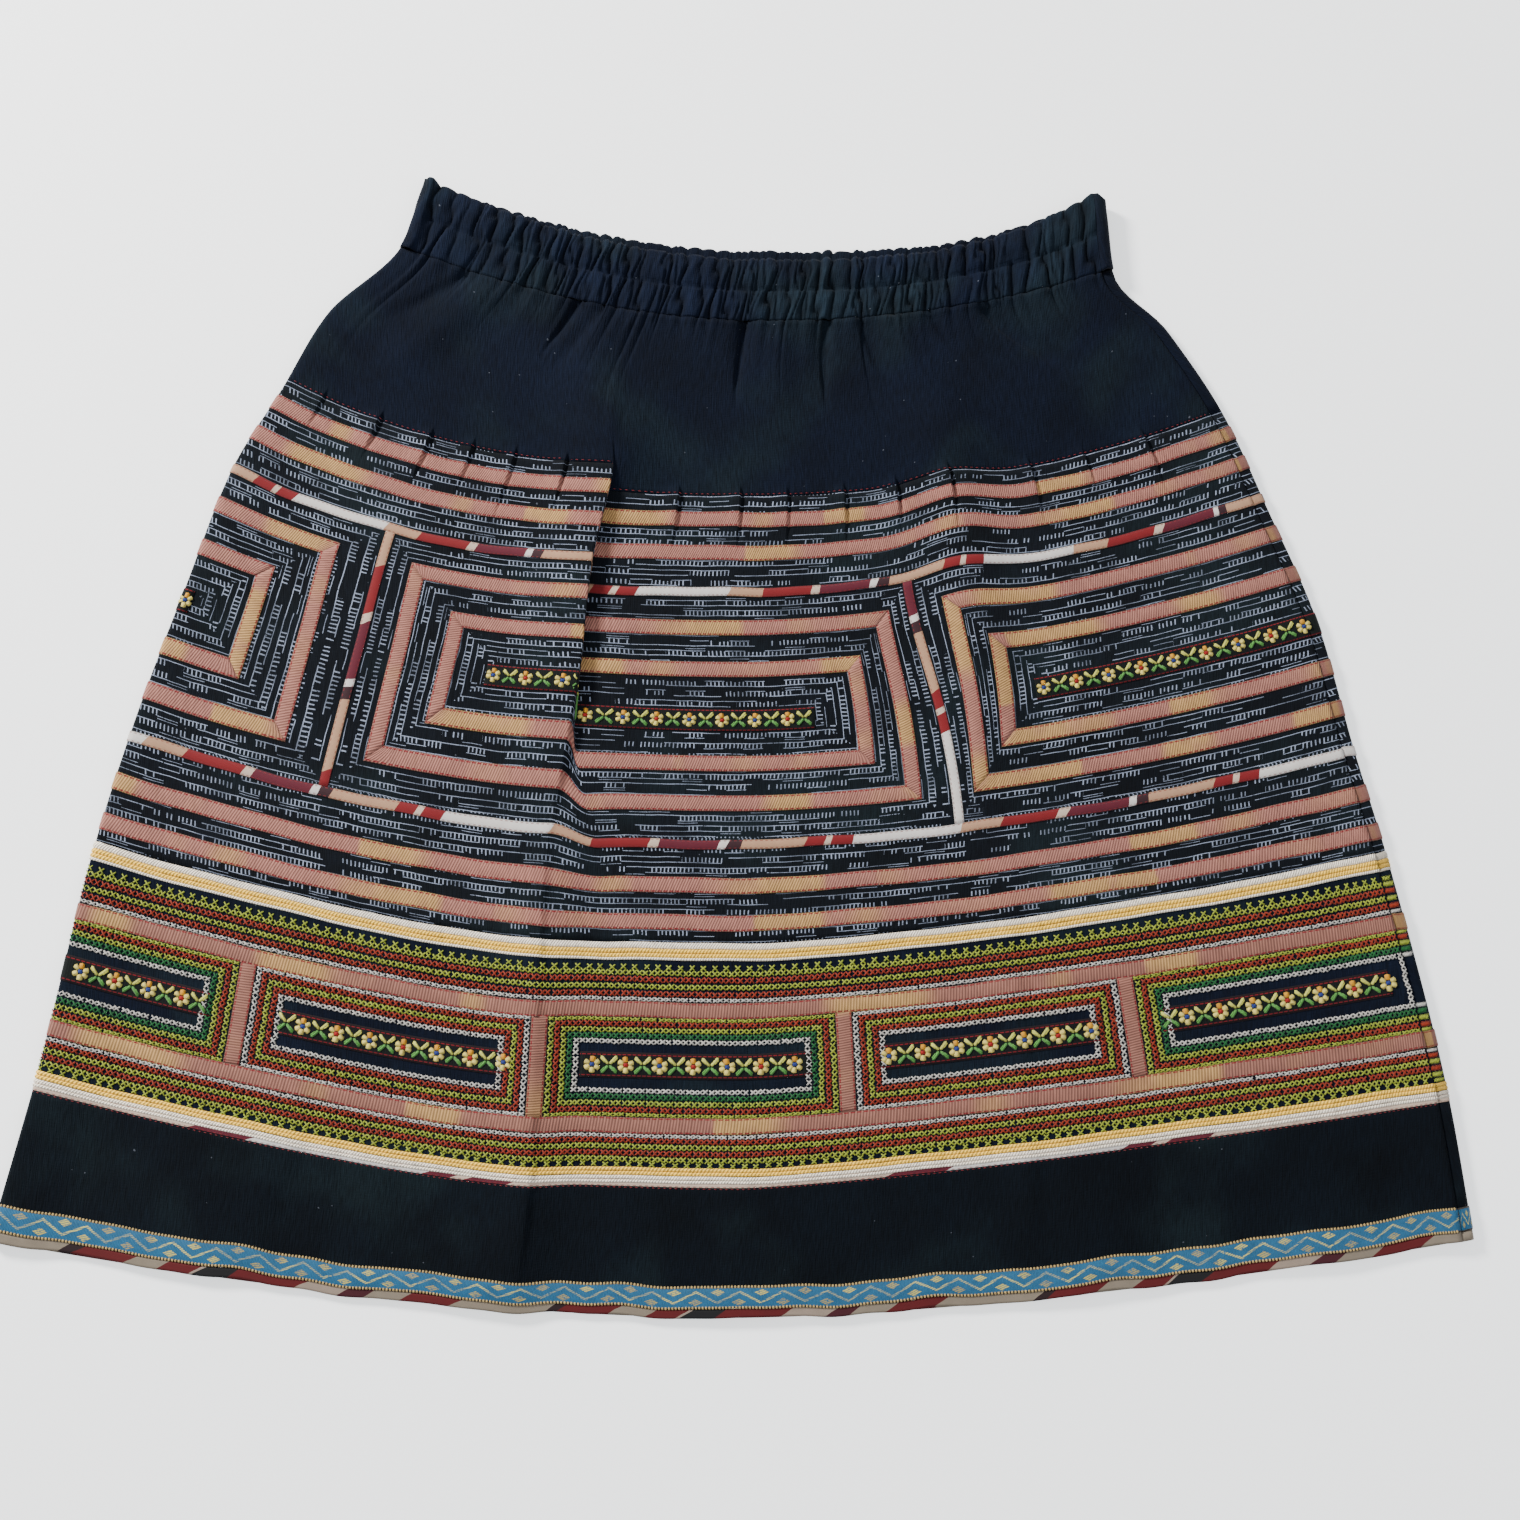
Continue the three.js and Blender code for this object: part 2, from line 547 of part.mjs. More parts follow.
const PANELS = {
  yoke: { columns: batikColumns, rows: panelRows(YOKE_TOP, YOKE_SEAM, [], ROW_STEP.yoke), keep: 1 },
  batik: {
    columns: batikColumns,
    rows: panelRows(YOKE_SEAM, BATIK_END, trims([...BATIK_TRIMS, ...BATIK_LOW_TRIMS]), ROW_STEP.batik),
    keep: 3,
  },
  embroidery: {
    columns: bandColumns,
    rows: panelRows(BATIK_END, STITCHED_END, trims(BAND_TRIMS), ROW_STEP.band),
    keep: 2,
  },
  hem_band: {
    columns: bandColumns,
    rows: panelRows(STITCHED_END, EDGING_TOP, [ROW.hemRibbon], ROW_STEP.band),
    keep: 1,
  },
  hem_edging: { columns: bandColumns, rows: panelRows(EDGING_TOP, HEM_EDGE, [], ROW_STEP.band), keep: 1 },
};
const PANEL_LOOK = {
  yoke: 'cloth',
  batik: 'batik',
  embroidery: 'stitched',
  hem_band: 'cloth',
  hem_edging: 'print',
};

// Front panels
for (const [name, panel] of Object.entries(PANELS)) {
  const face = (i, j) => frontPoint(panel.columns[j], panel.rows[i], 0);
  const inside = (i, j) => frontPoint(panel.columns[j], panel.rows[i], -sectionAt(panel.rows[i]).wall);
  const keptRows = thinned(panel.rows.length, panel.keep);
  const keptColumns = thinned(panel.columns.length, 1);
  const counts = [panel.rows.length, panel.columns.length];
  addPiece(`${name}_front`, clothPanel(...counts, face, inside, keptRows, keptColumns), PANEL_LOOK[name]);
}

// Back panels
for (const { name, from, to, step, look } of BACK_PANELS) {
  const columns = backColumns();
  const rows = panelRows(from, to, [], step);
  const outside = (i, j) => backPoint(columns[j], rows[i], 0);
  const inside = (i, j) => backPoint(columns[j], rows[i], -sectionAt(rows[i]).wall);
  const all = [thinned(rows.length, 1), thinned(columns.length, 1)];
  addPiece(name, clothPanel(rows.length, columns.length, outside, inside, ...all), look);
}

// Columns of the waistband: each gather has a valley and two shoulders of a ridge, unevenly spaced
const GATHER = { slip: 0.35, valley: 0.15, shoulder: 0.45, span: 0.32, leastRidge: 0.7 };
function gatherColumns(shouldersPerGather) {
  const columns = [];
  for (let k = 0; k < WAISTBAND.gathers; k += 1) {
    const slip = GATHER.slip * (scatter(k, 1) - 0.5);
    columns.push({ place: (k + GATHER.valley + slip) / WAISTBAND.gathers, ridge: 0 });
    for (let m = 0; m < shouldersPerGather; m += 1) {
      const along = k + GATHER.shoulder + slip + (GATHER.span * m) / Math.max(1, shouldersPerGather - 1);
      const ridge = lerp(GATHER.leastRidge, 1, scatter(k, 2 + m));
      columns.push({ place: along / WAISTBAND.gathers, ridge });
    }
  }
  return columns;
}

const BEYOND_ROLL = 3;
const WAIST_ROLL_IN = WAISTBAND.roll / 2 + BEYOND_ROLL;
function waistHeight(inwards) {
  const beyond = Math.max(0, inwards - WAISTBAND.roll / 2);
  return WAISTBAND.top + (WAISTBAND.roll - WAISTBAND.top) * Math.exp(-((beyond / ROLL_FADE) ** 2));
}

// A point of the waistband's front: outer is its gathered face, otherwise the plain inside
function waistFrontPoint(column, row, outer) {
  const down = Math.min(Math.max(row.down, 0), WAIST_SEAM - SEAM_OPENING);
  const section = { ...sectionAt(down), roll: WAISTBAND.roll };
  if (column.turn) {
    const point = rollPoint(-1, column.turn, down, section, frontRise, outer ? 0 : -WAISTBAND.wall);
    if (column.turn === 180) point[2] += SEAM_OPENING;
    return point;
  }
  const right = section.right - SIDE_SEAM_IN - 3 * SEAM_OPENING;
  const x = lerp(section.left + WAIST_ROLL_IN, right, column.place);
  const across = (x - section.middle) / section.half;
  const inwards = section.half - Math.abs(x - section.middle);
  const scallop = row.down === 0 && outer ? WAISTBAND.scallop * column.ridge : 0;
  const y = WAIST_Y - down + frontRise(across, down, section) + scallop;
  const insideFace = waistHeight(inwards) - WAISTBAND.top + WAISTBAND.inside;
  if (!outer) return [x, y, insideFace];
  const z = waistHeight(inwards) - row.sink - WAISTBAND.depth * (1 - column.ridge);
  return [x, y, z];
}

// A point of the waistband's back: its underside is flat and its gathers show on the upper side
function waistBackPoint(column, row, outer) {
  const down = Math.min(Math.max(row.down, 0), WAIST_SEAM - SEAM_OPENING);
  const section = { ...sectionAt(down), roll: WAISTBAND.roll };
  if (column.turn) {
    const outwards = outer ? 0 : -WAISTBAND.wall;
    const point = rollPoint(column.side, column.turn, down, section, backRise, outwards);
    if (column.turn === 180) point[2] -= SEAM_OPENING;
    return point;
  }
  if (column.seam) {
    const x = section.right - SIDE_SEAM_IN + SEAM_OPENING;
    const across = (x - section.middle) / section.half;
    const z = waistHeight(SIDE_SEAM_IN) - (outer ? 0 : WAISTBAND.top - WAISTBAND.inside);
    return [x, WAIST_Y - down + frontRise(across, down, section), z];
  }
  const x = lerp(section.left + WAIST_ROLL_IN, section.right - WAIST_ROLL_IN, column.place);
  const across = (x - section.middle) / section.half;
  const scallop = row.down === 0 && !outer ? WAISTBAND.scallop * column.ridge : 0;
  const y = WAIST_Y - down + backRise(across, down, section) + scallop;
  return [x, y, outer ? 0 : WAISTBAND.backTop - row.backSink + WAISTBAND.backDepth * column.ridge];
}

// Every kept column of the plain face is a valley, so that the two faces meet along the rim
function waistband() {
  const turns = [180, 135, 90].map((turn) => ({ turn, side: -1 }));
  const start = { place: 0, ridge: 0.6 };
  const end = { place: 1, ridge: 0.4 };
  const front = [...turns, start, ...gatherColumns(2).slice(1), end];
  const plain = turns.length + 1;
  const everyGather = 3;
  const frontGathers = thinned(front.length - plain, everyGather).map((k) => k + plain);
  const frontKept = [...thinned(plain, 1), ...frontGathers];
  const frontRows = WAISTBAND.rows;
  const frontFace = (i, j) => waistFrontPoint(front[j], frontRows[i], true);
  const frontInside = (i, j) => waistFrontPoint(front[j], frontRows[i], false);
  const frontRowsKept = [0, frontRows.length - 1];
  const frontGrid = [frontRows.length, front.length, frontFace, frontInside, frontRowsKept, frontKept];
  addPiece('waistband_front', clothPanel(...frontGrid), 'cloth');
  const leftTurns = [180, 225, 270].map((turn) => ({ turn, side: -1 }));
  const rightTurns = [270, 315, 360, 405, 450].map((turn) => ({ turn, side: 1 }));
  const back = [...leftTurns, ...gatherColumns(1), ...rightTurns, { seam: true }];
  const firstTurn = leftTurns.length + gatherColumns(1).length;
  const everySecondGather = 4;
  const backGathers = thinned(firstTurn - leftTurns.length, everySecondGather).map((k) => k + leftTurns.length);
  const backKept = [...thinned(leftTurns.length, 1), ...backGathers];
  for (let k = firstTurn; k < back.length; k += 1) backKept.push(k);
  const backRows = WAISTBAND.rows.filter((row, k) => k % 2 === 0);
  const backInside = (i, j) => waistBackPoint(back[j], backRows[i], false);
  const backFace = (i, j) => waistBackPoint(back[j], backRows[i], true);
  const backGrid = [backRows.length, back.length, backInside, backFace, thinned(backRows.length, 1), backKept];
  addPiece('waistband_back', clothPanel(...backGrid), 'cloth');
}
waistband();

// Cells of a front panel between two lengths down and two places across
function cellsBetween(panel, fromDown, toDown, fromAcross, toAcross) {
  const cells = [];
  const place = (column) => {
    if (column.kind === 'roll' || column.kind === 'left') return -1;
    return column.kind === 'right' ? 1 : column.upper;
  };
  for (let i = 0; i + 1 < panel.rows.length; i += 1) {
    if (panel.rows[i] < fromDown - NEAR || panel.rows[i + 1] > toDown + NEAR) continue;
    for (let j = 0; j + 1 < panel.columns.length; j += 1) {
      const [start, end] = [place(panel.columns[j]), place(panel.columns[j + 1])];
      if (start >= fromAcross - TINY && end <= toAcross + TINY) cells.push([i, j]);
    }
  }
  return cells;
}

const upperEdge = (row) => row.middle - row.width / 2;
const lowerEdge = (row) => row.middle + row.width / 2;
function bandCells(panel, row, from = -1, to = 1) {
  return cellsBetween(panel, upperEdge(row), lowerEdge(row), from, to);
}

// Trims that run straight across the front
const LONG_TRIMS = table(['name', 'panel', 'row', 'look', 'thickness'], [
  ['pink_row_1', 'batik', 'pinkRow1', 'pink', RIBBON_THICKNESS],
  ['pink_row_2', 'batik', 'pinkRow2', 'pink', RIBBON_THICKNESS],
  ['pink_row_3', 'batik', 'pinkRow3', 'pink', RIBBON_THICKNESS],
  ['pink_row_4', 'batik', 'pinkRow4', 'pink', RIBBON_THICKNESS],
  ['print_strip_upper', 'batik', 'stripUpper', 'print', RIBBON_THICKNESS],
  ['print_strip_lower', 'batik', 'stripLower', 'print', RIBBON_THICKNESS],
  ['cord_upper', 'embroidery', 'cordUpper', 'cord', CORD_THICKNESS],
  ['band_ribbon_upper', 'embroidery', 'bandRibbonUpper', 'pink', RIBBON_THICKNESS],
  ['band_ribbon_lower', 'embroidery', 'bandRibbonLower', 'pink', RIBBON_THICKNESS],
  ['cord_lower', 'embroidery', 'cordLower', 'cord', CORD_THICKNESS],
  ['hem_ribbon_front', 'hem_band', 'hemRibbon', 'hemRibbon', RIBBON_THICKNESS],
]);
for (const { name, panel, row, look, thickness } of LONG_TRIMS) {
  addPiece(name, trimSolid(PANELS[panel], bandCells(PANELS[panel], ROW[row]), thickness, 0), look);
}

// Nested rectangles of pink ribbon: those at the sides run on past the front's edges
const RINGS = table(['name', 'top', 'low', 'left', 'right'], [
  ['ring_left_outer', 'ringOuterTop', 'ringOuterLow', null, 'leftOuter'],
  ['ring_left_inner', 'ringInnerTop', 'ringInnerLow', null, 'leftInner'],
  ['ring_middle_outer', 'ringOuterTop', 'ringOuterLow', 'middleOuterLeft', 'middleOuterRight'],
  ['ring_middle_inner', 'ringInnerTop', 'ringInnerLow', 'middleInnerLeft', 'middleInnerRight'],
  ['ring_right_outer', 'ringOuterTop', 'ringOuterLow', 'rightOuter', null],
  ['ring_right_inner', 'ringInnerTop', 'ringInnerLow', 'rightInner', null],
]);
for (const { name, top, low, left, right } of RINGS) {
  const panel = PANELS.batik;
  const from = left ? UPRIGHT[left].left[0] : -1;
  const to = right ? UPRIGHT[right].right[0] : 1;
  const [start, end] = [lowerEdge(ROW[top]), upperEdge(ROW[low])];
  const cells = [...bandCells(panel, ROW[top], from, to), ...bandCells(panel, ROW[low], from, to)];
  if (left) cells.push(...cellsBetween(panel, start, end, from, UPRIGHT[left].right[0]));
  if (right) cells.push(...cellsBetween(panel, start, end, UPRIGHT[right].left[0], to));
  addPiece(name, trimSolid(panel, cells, RIBBON_THICKNESS, 0), 'pink');
}

// Upright printed strips between the rectangles
for (const [name, key] of [['print_divider_left', 'dividerLeft'], ['print_divider_right', 'dividerRight']]) {
  const side = UPRIGHT[key];
  const span = [lowerEdge(ROW.stripUpper), upperEdge(ROW.stripLower)];
  const cells = cellsBetween(PANELS.batik, ...span, side.left[0], side.right[0]);
  addPiece(name, trimSolid(PANELS.batik, cells, RIBBON_THICKNESS, SEAM_GAP), 'print');
}

// Flowered ribbon inside the rectangles
const [flowerStart, flowerEnd] = FLOWER_ENDS.middle;
const LEFT_FLOWER_CELLS = 2;
const leftFlower = bandCells(PANELS.batik, ROW.flower, -1, -1).slice(0, LEFT_FLOWER_CELLS);
addPiece('flower_band_left', trimSolid(PANELS.batik, leftFlower, FLOWER_THICKNESS, 0), 'flower');
const middleFlower = bandCells(PANELS.batik, ROW.flower, flowerStart, flowerEnd);
addPiece('flower_band_middle', trimSolid(PANELS.batik, middleFlower, FLOWER_THICKNESS, 0), 'flower');
const rightFlower = bandCells(PANELS.batik, ROW.flower, FLOWER_ENDS.right[0], 1);
addPiece('flower_band_right', trimSolid(PANELS.batik, rightFlower, FLOWER_THICKNESS, 0), 'flower');

// Pink uprights and flowered ribbons of the cross-stitched band
const framePanel = PANELS.embroidery;
const frameSpan = [lowerEdge(ROW.bandRibbonUpper), upperEdge(ROW.bandRibbonLower)];
BAND_DIVIDERS.forEach(([left, right], k) => {
  const cells = cellsBetween(framePanel, ...frameSpan, left, right);
  addPiece(`band_divider_${k + 1}`, trimSolid(framePanel, cells, RIBBON_THICKNESS, SEAM_GAP), 'pink');
});
BAND_FLOWERS.forEach(([left, right], k) => {
  const cells = bandCells(framePanel, ROW.frameFlower, left, right);
  addPiece(`band_flower_${k + 1}`, trimSolid(framePanel, cells, FLOWER_THICKNESS, 0), 'flower');
});

export default skirt;
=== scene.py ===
"""Looks of a gathered skirt that lies flat, front side up.

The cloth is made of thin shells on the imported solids, with ribbons, cords, cross-stitches and woven
flowers laid on them. Tables are in millimetres and Blender's meshes in metres. A place is given by how
far across the panel it lies, from -1 at the left edge to 1 at the right one, and how far down from the
waist's edge, measured along the cloth.
"""
import math
from functools import partialmethod
from types import SimpleNamespace

import bpy
import numpy as np
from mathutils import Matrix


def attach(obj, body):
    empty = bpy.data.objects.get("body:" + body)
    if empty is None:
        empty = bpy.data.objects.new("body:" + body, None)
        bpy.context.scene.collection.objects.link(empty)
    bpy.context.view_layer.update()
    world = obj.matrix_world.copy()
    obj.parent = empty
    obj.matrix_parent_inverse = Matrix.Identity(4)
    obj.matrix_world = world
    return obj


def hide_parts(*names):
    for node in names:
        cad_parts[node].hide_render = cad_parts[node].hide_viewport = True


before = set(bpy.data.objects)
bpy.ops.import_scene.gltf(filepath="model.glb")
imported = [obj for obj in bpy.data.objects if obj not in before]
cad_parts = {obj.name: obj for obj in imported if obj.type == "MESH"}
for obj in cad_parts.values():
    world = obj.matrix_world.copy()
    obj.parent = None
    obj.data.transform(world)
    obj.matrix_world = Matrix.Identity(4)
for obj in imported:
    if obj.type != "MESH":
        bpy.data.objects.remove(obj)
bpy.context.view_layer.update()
MM = 0.001
COARSE = 1.0
draw = np.random.default_rng(7)


def new_object(name, data):
    item = bpy.data.objects.new(name, data)
    bpy.context.scene.collection.objects.link(item)
    return item


# Camera
PHOTO_SIDE = 1520
PHOTO_FOCAL = 2000
TILT = math.radians(10)
DISTANCE = 1.0
LOOK_AT = (0.0135, -0.019)
SENSOR = 36.0

camera = new_object("camera", bpy.data.cameras.new("camera"))
camera.data.sensor_width = SENSOR
camera.data.lens = SENSOR * PHOTO_FOCAL / PHOTO_SIDE
camera.data.clip_start = 0.01
camera.location = (LOOK_AT[0], LOOK_AT[1] - DISTANCE * math.sin(TILT), DISTANCE * math.cos(TILT))
camera.rotation_euler = (TILT, 0, 0)
bpy.context.scene.camera = camera

# The skirt's form, as its solids have it
WAIST_Y = 244
WAIST_SEAM = 34
YOKE_SEAM = 127
BATIK_END = 354.9
STITCHED_END = 471.1
EDGING_START = 528.5
HEM_EDGE = 533
RIBBON_BACK_START = 518.2
BACK_WAIST_LIFT = 6
ROLL_FADE = 20
EDGE_CALM = 30
GATHER_CALM = 10
LOWEST_FRONT = 3
SIDE_SEAM_IN = 7
BACK_CLEAR = 0.6
SECTION_COLUMNS = (
    "down", "left", "right", "left_rise", "right_rise", "left_curl", "right_curl", "top", "roll",
)
SECTIONS = np.array([
    (0, -162.5, 194.5, 45, 41, 1.9, 3.0, 6.4, 7.6),
    (34, -174.5, 197.5, 41, 29, 1.8, 2.2, 6.2, 7.4),
    (80, -211, 225.5, 44, 41, 2.3, 2.0, 4.6, 6.8),
    (127, -230.5, 251.5, 49, 45, 2.6, 2.0, 3.6, 6.4),
    (177.5, -256.5, 270.5, 51, 49.5, 2.6, 1.75, 3.4, 6.2),
    (243.5, -279.5, 295.5, 47.5, 50, 2.2, 1.65, 3.2, 6),
    (306, -301.5, 310.5, 46, 47.5, 2.3, 1.7, 3.2, 6),
    (360, -316.5, 324.5, 45.5, 45.5, 2.1, 1.5, 3.2, 6),
    (471, -338.5, 347.5, 44, 41.5, 2.0, 1.3, 3.2, 6),
    (533, -355.5, 355.5, 34, 36.5, 1.75, 1.6, 3.2, 6),
])
STEP_COLUMNS = ("down", "drop", "spread", "sag")
OVERLAP_STEP = np.array([
    (34, 0, 0.05, 0),
    (80, 7, 0.03, 0),
    (127, 13, 0.016, 0),
    (243.5, 15, 0.02, 0),
    (306, 9, 0.08, 4.5),
    (360, 5, 0.12, 7),
    (471, 3, 0.13, 6),
    (533, 2, 0.14, 3),
])
SAG_LEFT = 0.33
SAG_RIGHT = 0.07
OVERLAP_ACROSS = -0.31
OVERHANG = dict(reach=3.6, begin=104, end=318, fade_in=30, fade_out=90, before=12, after=14)
HUMP = dict(down=155, reach=48, across=0.41, half_width=24, height=7)

# Folds: from, to, fade in, fade out, upper and lower place across, height, left and right half widths
FOLDS = [
    (52, 160, 60, 60, -0.31, -0.31, 6.5, 26, 20),
    (100, 318, 55, 80, -0.31, -0.31, 6.5, 26, 2.2),
    (262, 560, 70, 60, -0.31, -0.3, 3.6, 34, 16),
    (56, 330, 60, 110, 0.43, 0.4, 4.2, 20, 17),
    (34, 120, 12, 60, -0.72, -0.84, 2.6, 14, 12),
    (30, 64, 4, 24, -0.5, -0.51, -1.8, 6, 6),
    (34, 104, 8, 50, -0.4, -0.355, 1.8, 10, 14),
    (30, 74, 4, 30, -0.03, -0.03, -1.9, 5, 5),
    (34, 112, 10, 60, 0.07, 0.07, 1.6, 9, 9),
    (30, 78, 4, 34, 0.19, 0.18, -1.9, 5, 6),
    (32, 92, 6, 44, 0.63, 0.77, -1.6, 7, 9),
    (400, 570, 80, 20, -0.7, -0.73, 1.8, 40, 34),
    (420, 570, 80, 20, 0.05, 0.02, 1.5, 30, 36),
    (330, 570, 110, 20, 0.4, 0.5, 2.2, 30, 26),
    (430, 570, 70, 20, 0.79, 0.8, 1.4, 26, 26),
]
# Creases too fine for the solids, in the same columns
CREASES = [
    (33, 78, 3, 30, -0.8, -0.9, -1.8, 3, 5),
    (33, 58, 3, 18, -0.66, -0.68, -1.0, 3, 4),
    (33, 72, 3, 28, -0.5, -0.512, -2.8, 1.3, 2.4),
    (33, 84, 3, 40, -0.43, -0.47, -1.8, 5, 3),
    (33, 56, 3, 18, -0.33, -0.34, 0.9, 4, 4),
    (33, 52, 3, 14, -0.2, -0.2, -0.8, 3, 3),
    (33, 84, 3, 34, -0.032, -0.03, -3.2, 1.0, 2.0),
    (33, 60, 3, 20, 0.1, 0.12, -0.8, 3, 4),
    (33, 88, 3, 38, 0.19, 0.182, -3.2, 1.0, 2.2),
    (33, 80, 3, 36, 0.29, 0.35, -2.2, 2, 5),
    (33, 100, 3, 50, 0.36, 0.5, 2.2, 5, 7),
    (33, 82, 3, 36, 0.48, 0.57, -2.2, 2, 5),
    (33, 90, 3, 40, 0.62, 0.76, -2.2, 2, 5),
    (33, 70, 3, 30, 0.74, 0.84, 0.8, 5, 5),
    (200, 330, 30, 60, 0.13, 0.16, 0.7, 9, 7),
    (190, 345, 40, 60, 0.58, 0.55, 0.9, 10, 8),
    (230, 420, 50, 70, -0.52, -0.48, 0.8, 10, 12),
    (330, 533, 60, 30, -0.02, 0.0, 0.7, 12, 9),
    (290, 533, 50, 50, -0.315, -0.292, 1.9, 13, 2.6),
    (322, 533, 60, 60, 0.418, 0.4, 1.6, 11, 3.2),
    (390, 533, 50, 50, -0.62, -0.66, 0.8, 12, 6),
    (455, 533, 16, 10, -0.52, -0.5, 0.7, 8, 10),
    (455, 533, 16, 10, 0.24, 0.27, 0.8, 7, 9),
    (455, 533, 16, 10, 0.64, 0.66, 0.6, 8, 8),
]
TUCKS = np.array([
    -0.92, -0.8, -0.69, -0.6, -0.51, -0.4, -0.16, -0.03, 0.07, 0.19, 0.3, 0.41, 0.585, 0.7, 0.83,
])
TUCK = dict(length=30, lead=5, height=2.0, slope=6.0, drop=0.5, groove=1.8, groove_at=1.2, groove_width=0.8)

# Waves: height, pitch across, pitch down and phase, then the same without a height for the swell
FLAT = math.inf
SOFT_WAVES = [
    (0.24, 23, 41, 0.7, -67, 29, 0),
    (0.12, 9.1, -17, 1.3, 31, 12.3, 0),
]
HEM_WAVES = [
    (0.6, 13, FLAT, 0.4, FLAT, FLAT, math.pi / 2),
    (0.45, 5.3, FLAT, 2, 47, FLAT, 0),
]
HEM_WAVES_FROM = 500
HEM_WAVES_FADE = 20
PUCKER = dict(begin=460, fade_in=10, reach=9, height=0.3, pitch=1.9, sway=3, sway_pitch=21, swell_pitch=37)


def clamp01(value):
    return np.clip(value, 0, 1)


def smooth(value):
    value = clamp01(value)
    return value * value * (3 - 2 * value)


def lerp(start, end, along):
    return start + (end - start) * along


def bell(value):
    return np.exp(-(value**2))


def uneven_bell(away, left, right):
    """A bell with its own half width on each side."""
    return bell(away / np.where(away < 0, left, right))


def between(down, begin, end, fade_in, fade_out):
    """1 between two lengths down, with a fade at each of them."""
    return smooth((down - begin) / fade_in) * smooth((end - down) / fade_out)


def scatter(count, seed, least=0.0, most=1.0):
    """A repeatable number between least and most for each count."""
    value = np.sin(count * 12.9898 + seed * 78.233) * 43758.5453
    return least + (most - least) * (value - np.floor(value))


def smooth_table(table, columns, down):
    """Every column of a table at the lengths down, on smooth curves through its rows."""
    knots = table[:, 0]
    down = np.clip(down, knots[0], knots[-1])
    row = np.clip(np.searchsorted(knots, down, side="right") - 1, 0, len(knots) - 2)
    span = knots[row + 1] - knots[row]
    along = (down - knots[row]) / span
    rest = 1 - along
    out = {}
    for value, name in zip(table.T[1:], columns[1:]):
        slope = np.diff(value) / np.diff(knots)
        tangent = np.concatenate([slope[:1], np.zeros(len(slope) - 1), slope[-1:]])
        with np.errstate(divide="ignore", invalid="ignore"):
            mean = 2 * slope[:-1] * slope[1:] / (slope[:-1] + slope[1:])
        tangent[1:-1] = np.where(slope[:-1] * slope[1:] > 0, mean, 0)
        start = (1 + 2 * along) * rest**2 * value[row] + along * rest**2 * span * tangent[row]
        end = along**2 * (1 + 2 * rest) * value[row + 1] - along**2 * rest * span * tangent[row + 1]
        out[name] = start + end
    return out


def section_at(down):
    section = smooth_table(SECTIONS, SECTION_COLUMNS, down)
    section.update(smooth_table(OVERLAP_STEP, STEP_COLUMNS, down))
    section["middle"] = (section["left"] + section["right"]) / 2
    section["half"] = (section["right"] - section["left"]) / 2
    return section


def half_at(down):
    """Half the width of the row at one length down."""
    return float(section_at(np.array([down]))["half"][0])


def waves(table, x, down):
    """The sum of a table's waves, each with a height that swells and falls along it."""
    total = 0
    for height, across, along, phase, swell_across, swell_along, swell_phase in table:
        swell = np.sin(x / swell_across + down / swell_along + swell_phase)
        total = total + height * np.sin(x / across + down / along + phase) * swell
    return total


def climb(across, section, left_extra):
    left = (section["left_rise"] + left_extra) * np.abs(across) ** section["left_curl"]
    right = section["right_rise"] * np.abs(across) ** section["right_curl"]
    return np.where(across < 0, left, right)


def overlap_away(across, section):
    """0 at the overlap's upper edge and 1 where the cloth comes out from under it."""
    return (across - OVERLAP_ACROSS) / section["spread"]


def front_rise(across, down, section):
    """How much further up a point lies than the row's middle, with the waves of the hem's ribbon."""
    step = section["drop"] * (1 - smooth(overlap_away(across, section)))
    sag = section["sag"] * uneven_bell(across - OVERLAP_ACROSS, SAG_LEFT, SAG_RIGHT)
    away = (across - HUMP["across"]) * section["half"] / HUMP["half_width"]
    hump = HUMP["height"] * bell(away) * bell((down - HUMP["down"]) / HUMP["reach"])
    hem = smooth((down - HEM_WAVES_FROM) / HEM_WAVES_FADE) * waves(HEM_WAVES, across * section["half"], down)
    return climb(across, section, 0) + step - sag + hump + hem


def back_rise(across, down, section):
    lift = BACK_WAIST_LIFT * (1 - smooth(down / YOKE_SEAM)) * (1 - across * across)
    return climb(across, section, section["drop"]) + lift


def fold_height(across, down, section):
    """The folds, the creases and the small pleats at the yoke seam, each of these with one steep side."""
    height = np.zeros(np.broadcast(across, down).shape)
    below = down - YOKE_SEAM
    for number, place in enumerate(TUCKS):
        length = TUCK["length"] * scatter(number, 2, 0.7, 1.4)
        fade = (1 - smooth(below / length)) * smooth(below / TUCK["lead"] + 1)
        away = (across - place) * section["half"]
        pleat = TUCK["height"] * uneven_bell(away, TUCK["slope"], TUCK["drop"])
        groove = TUCK["groove"] * bell((away - TUCK["groove_at"]) / TUCK["groove_width"])
        height += scatter(number, 4, 0.7, 1.2) * fade * (pleat - groove)
    for begin, end, fade_in, fade_out, upper, lower, tall, left, right in FOLDS + CREASES:
        along = clamp01((down - begin) / (end - begin))
        away = (across - lerp(upper, lower, along)) * section["half"]
        height += tall * between(down, begin, end, fade_in, fade_out) * uneven_bell(away, left, right)
    return height


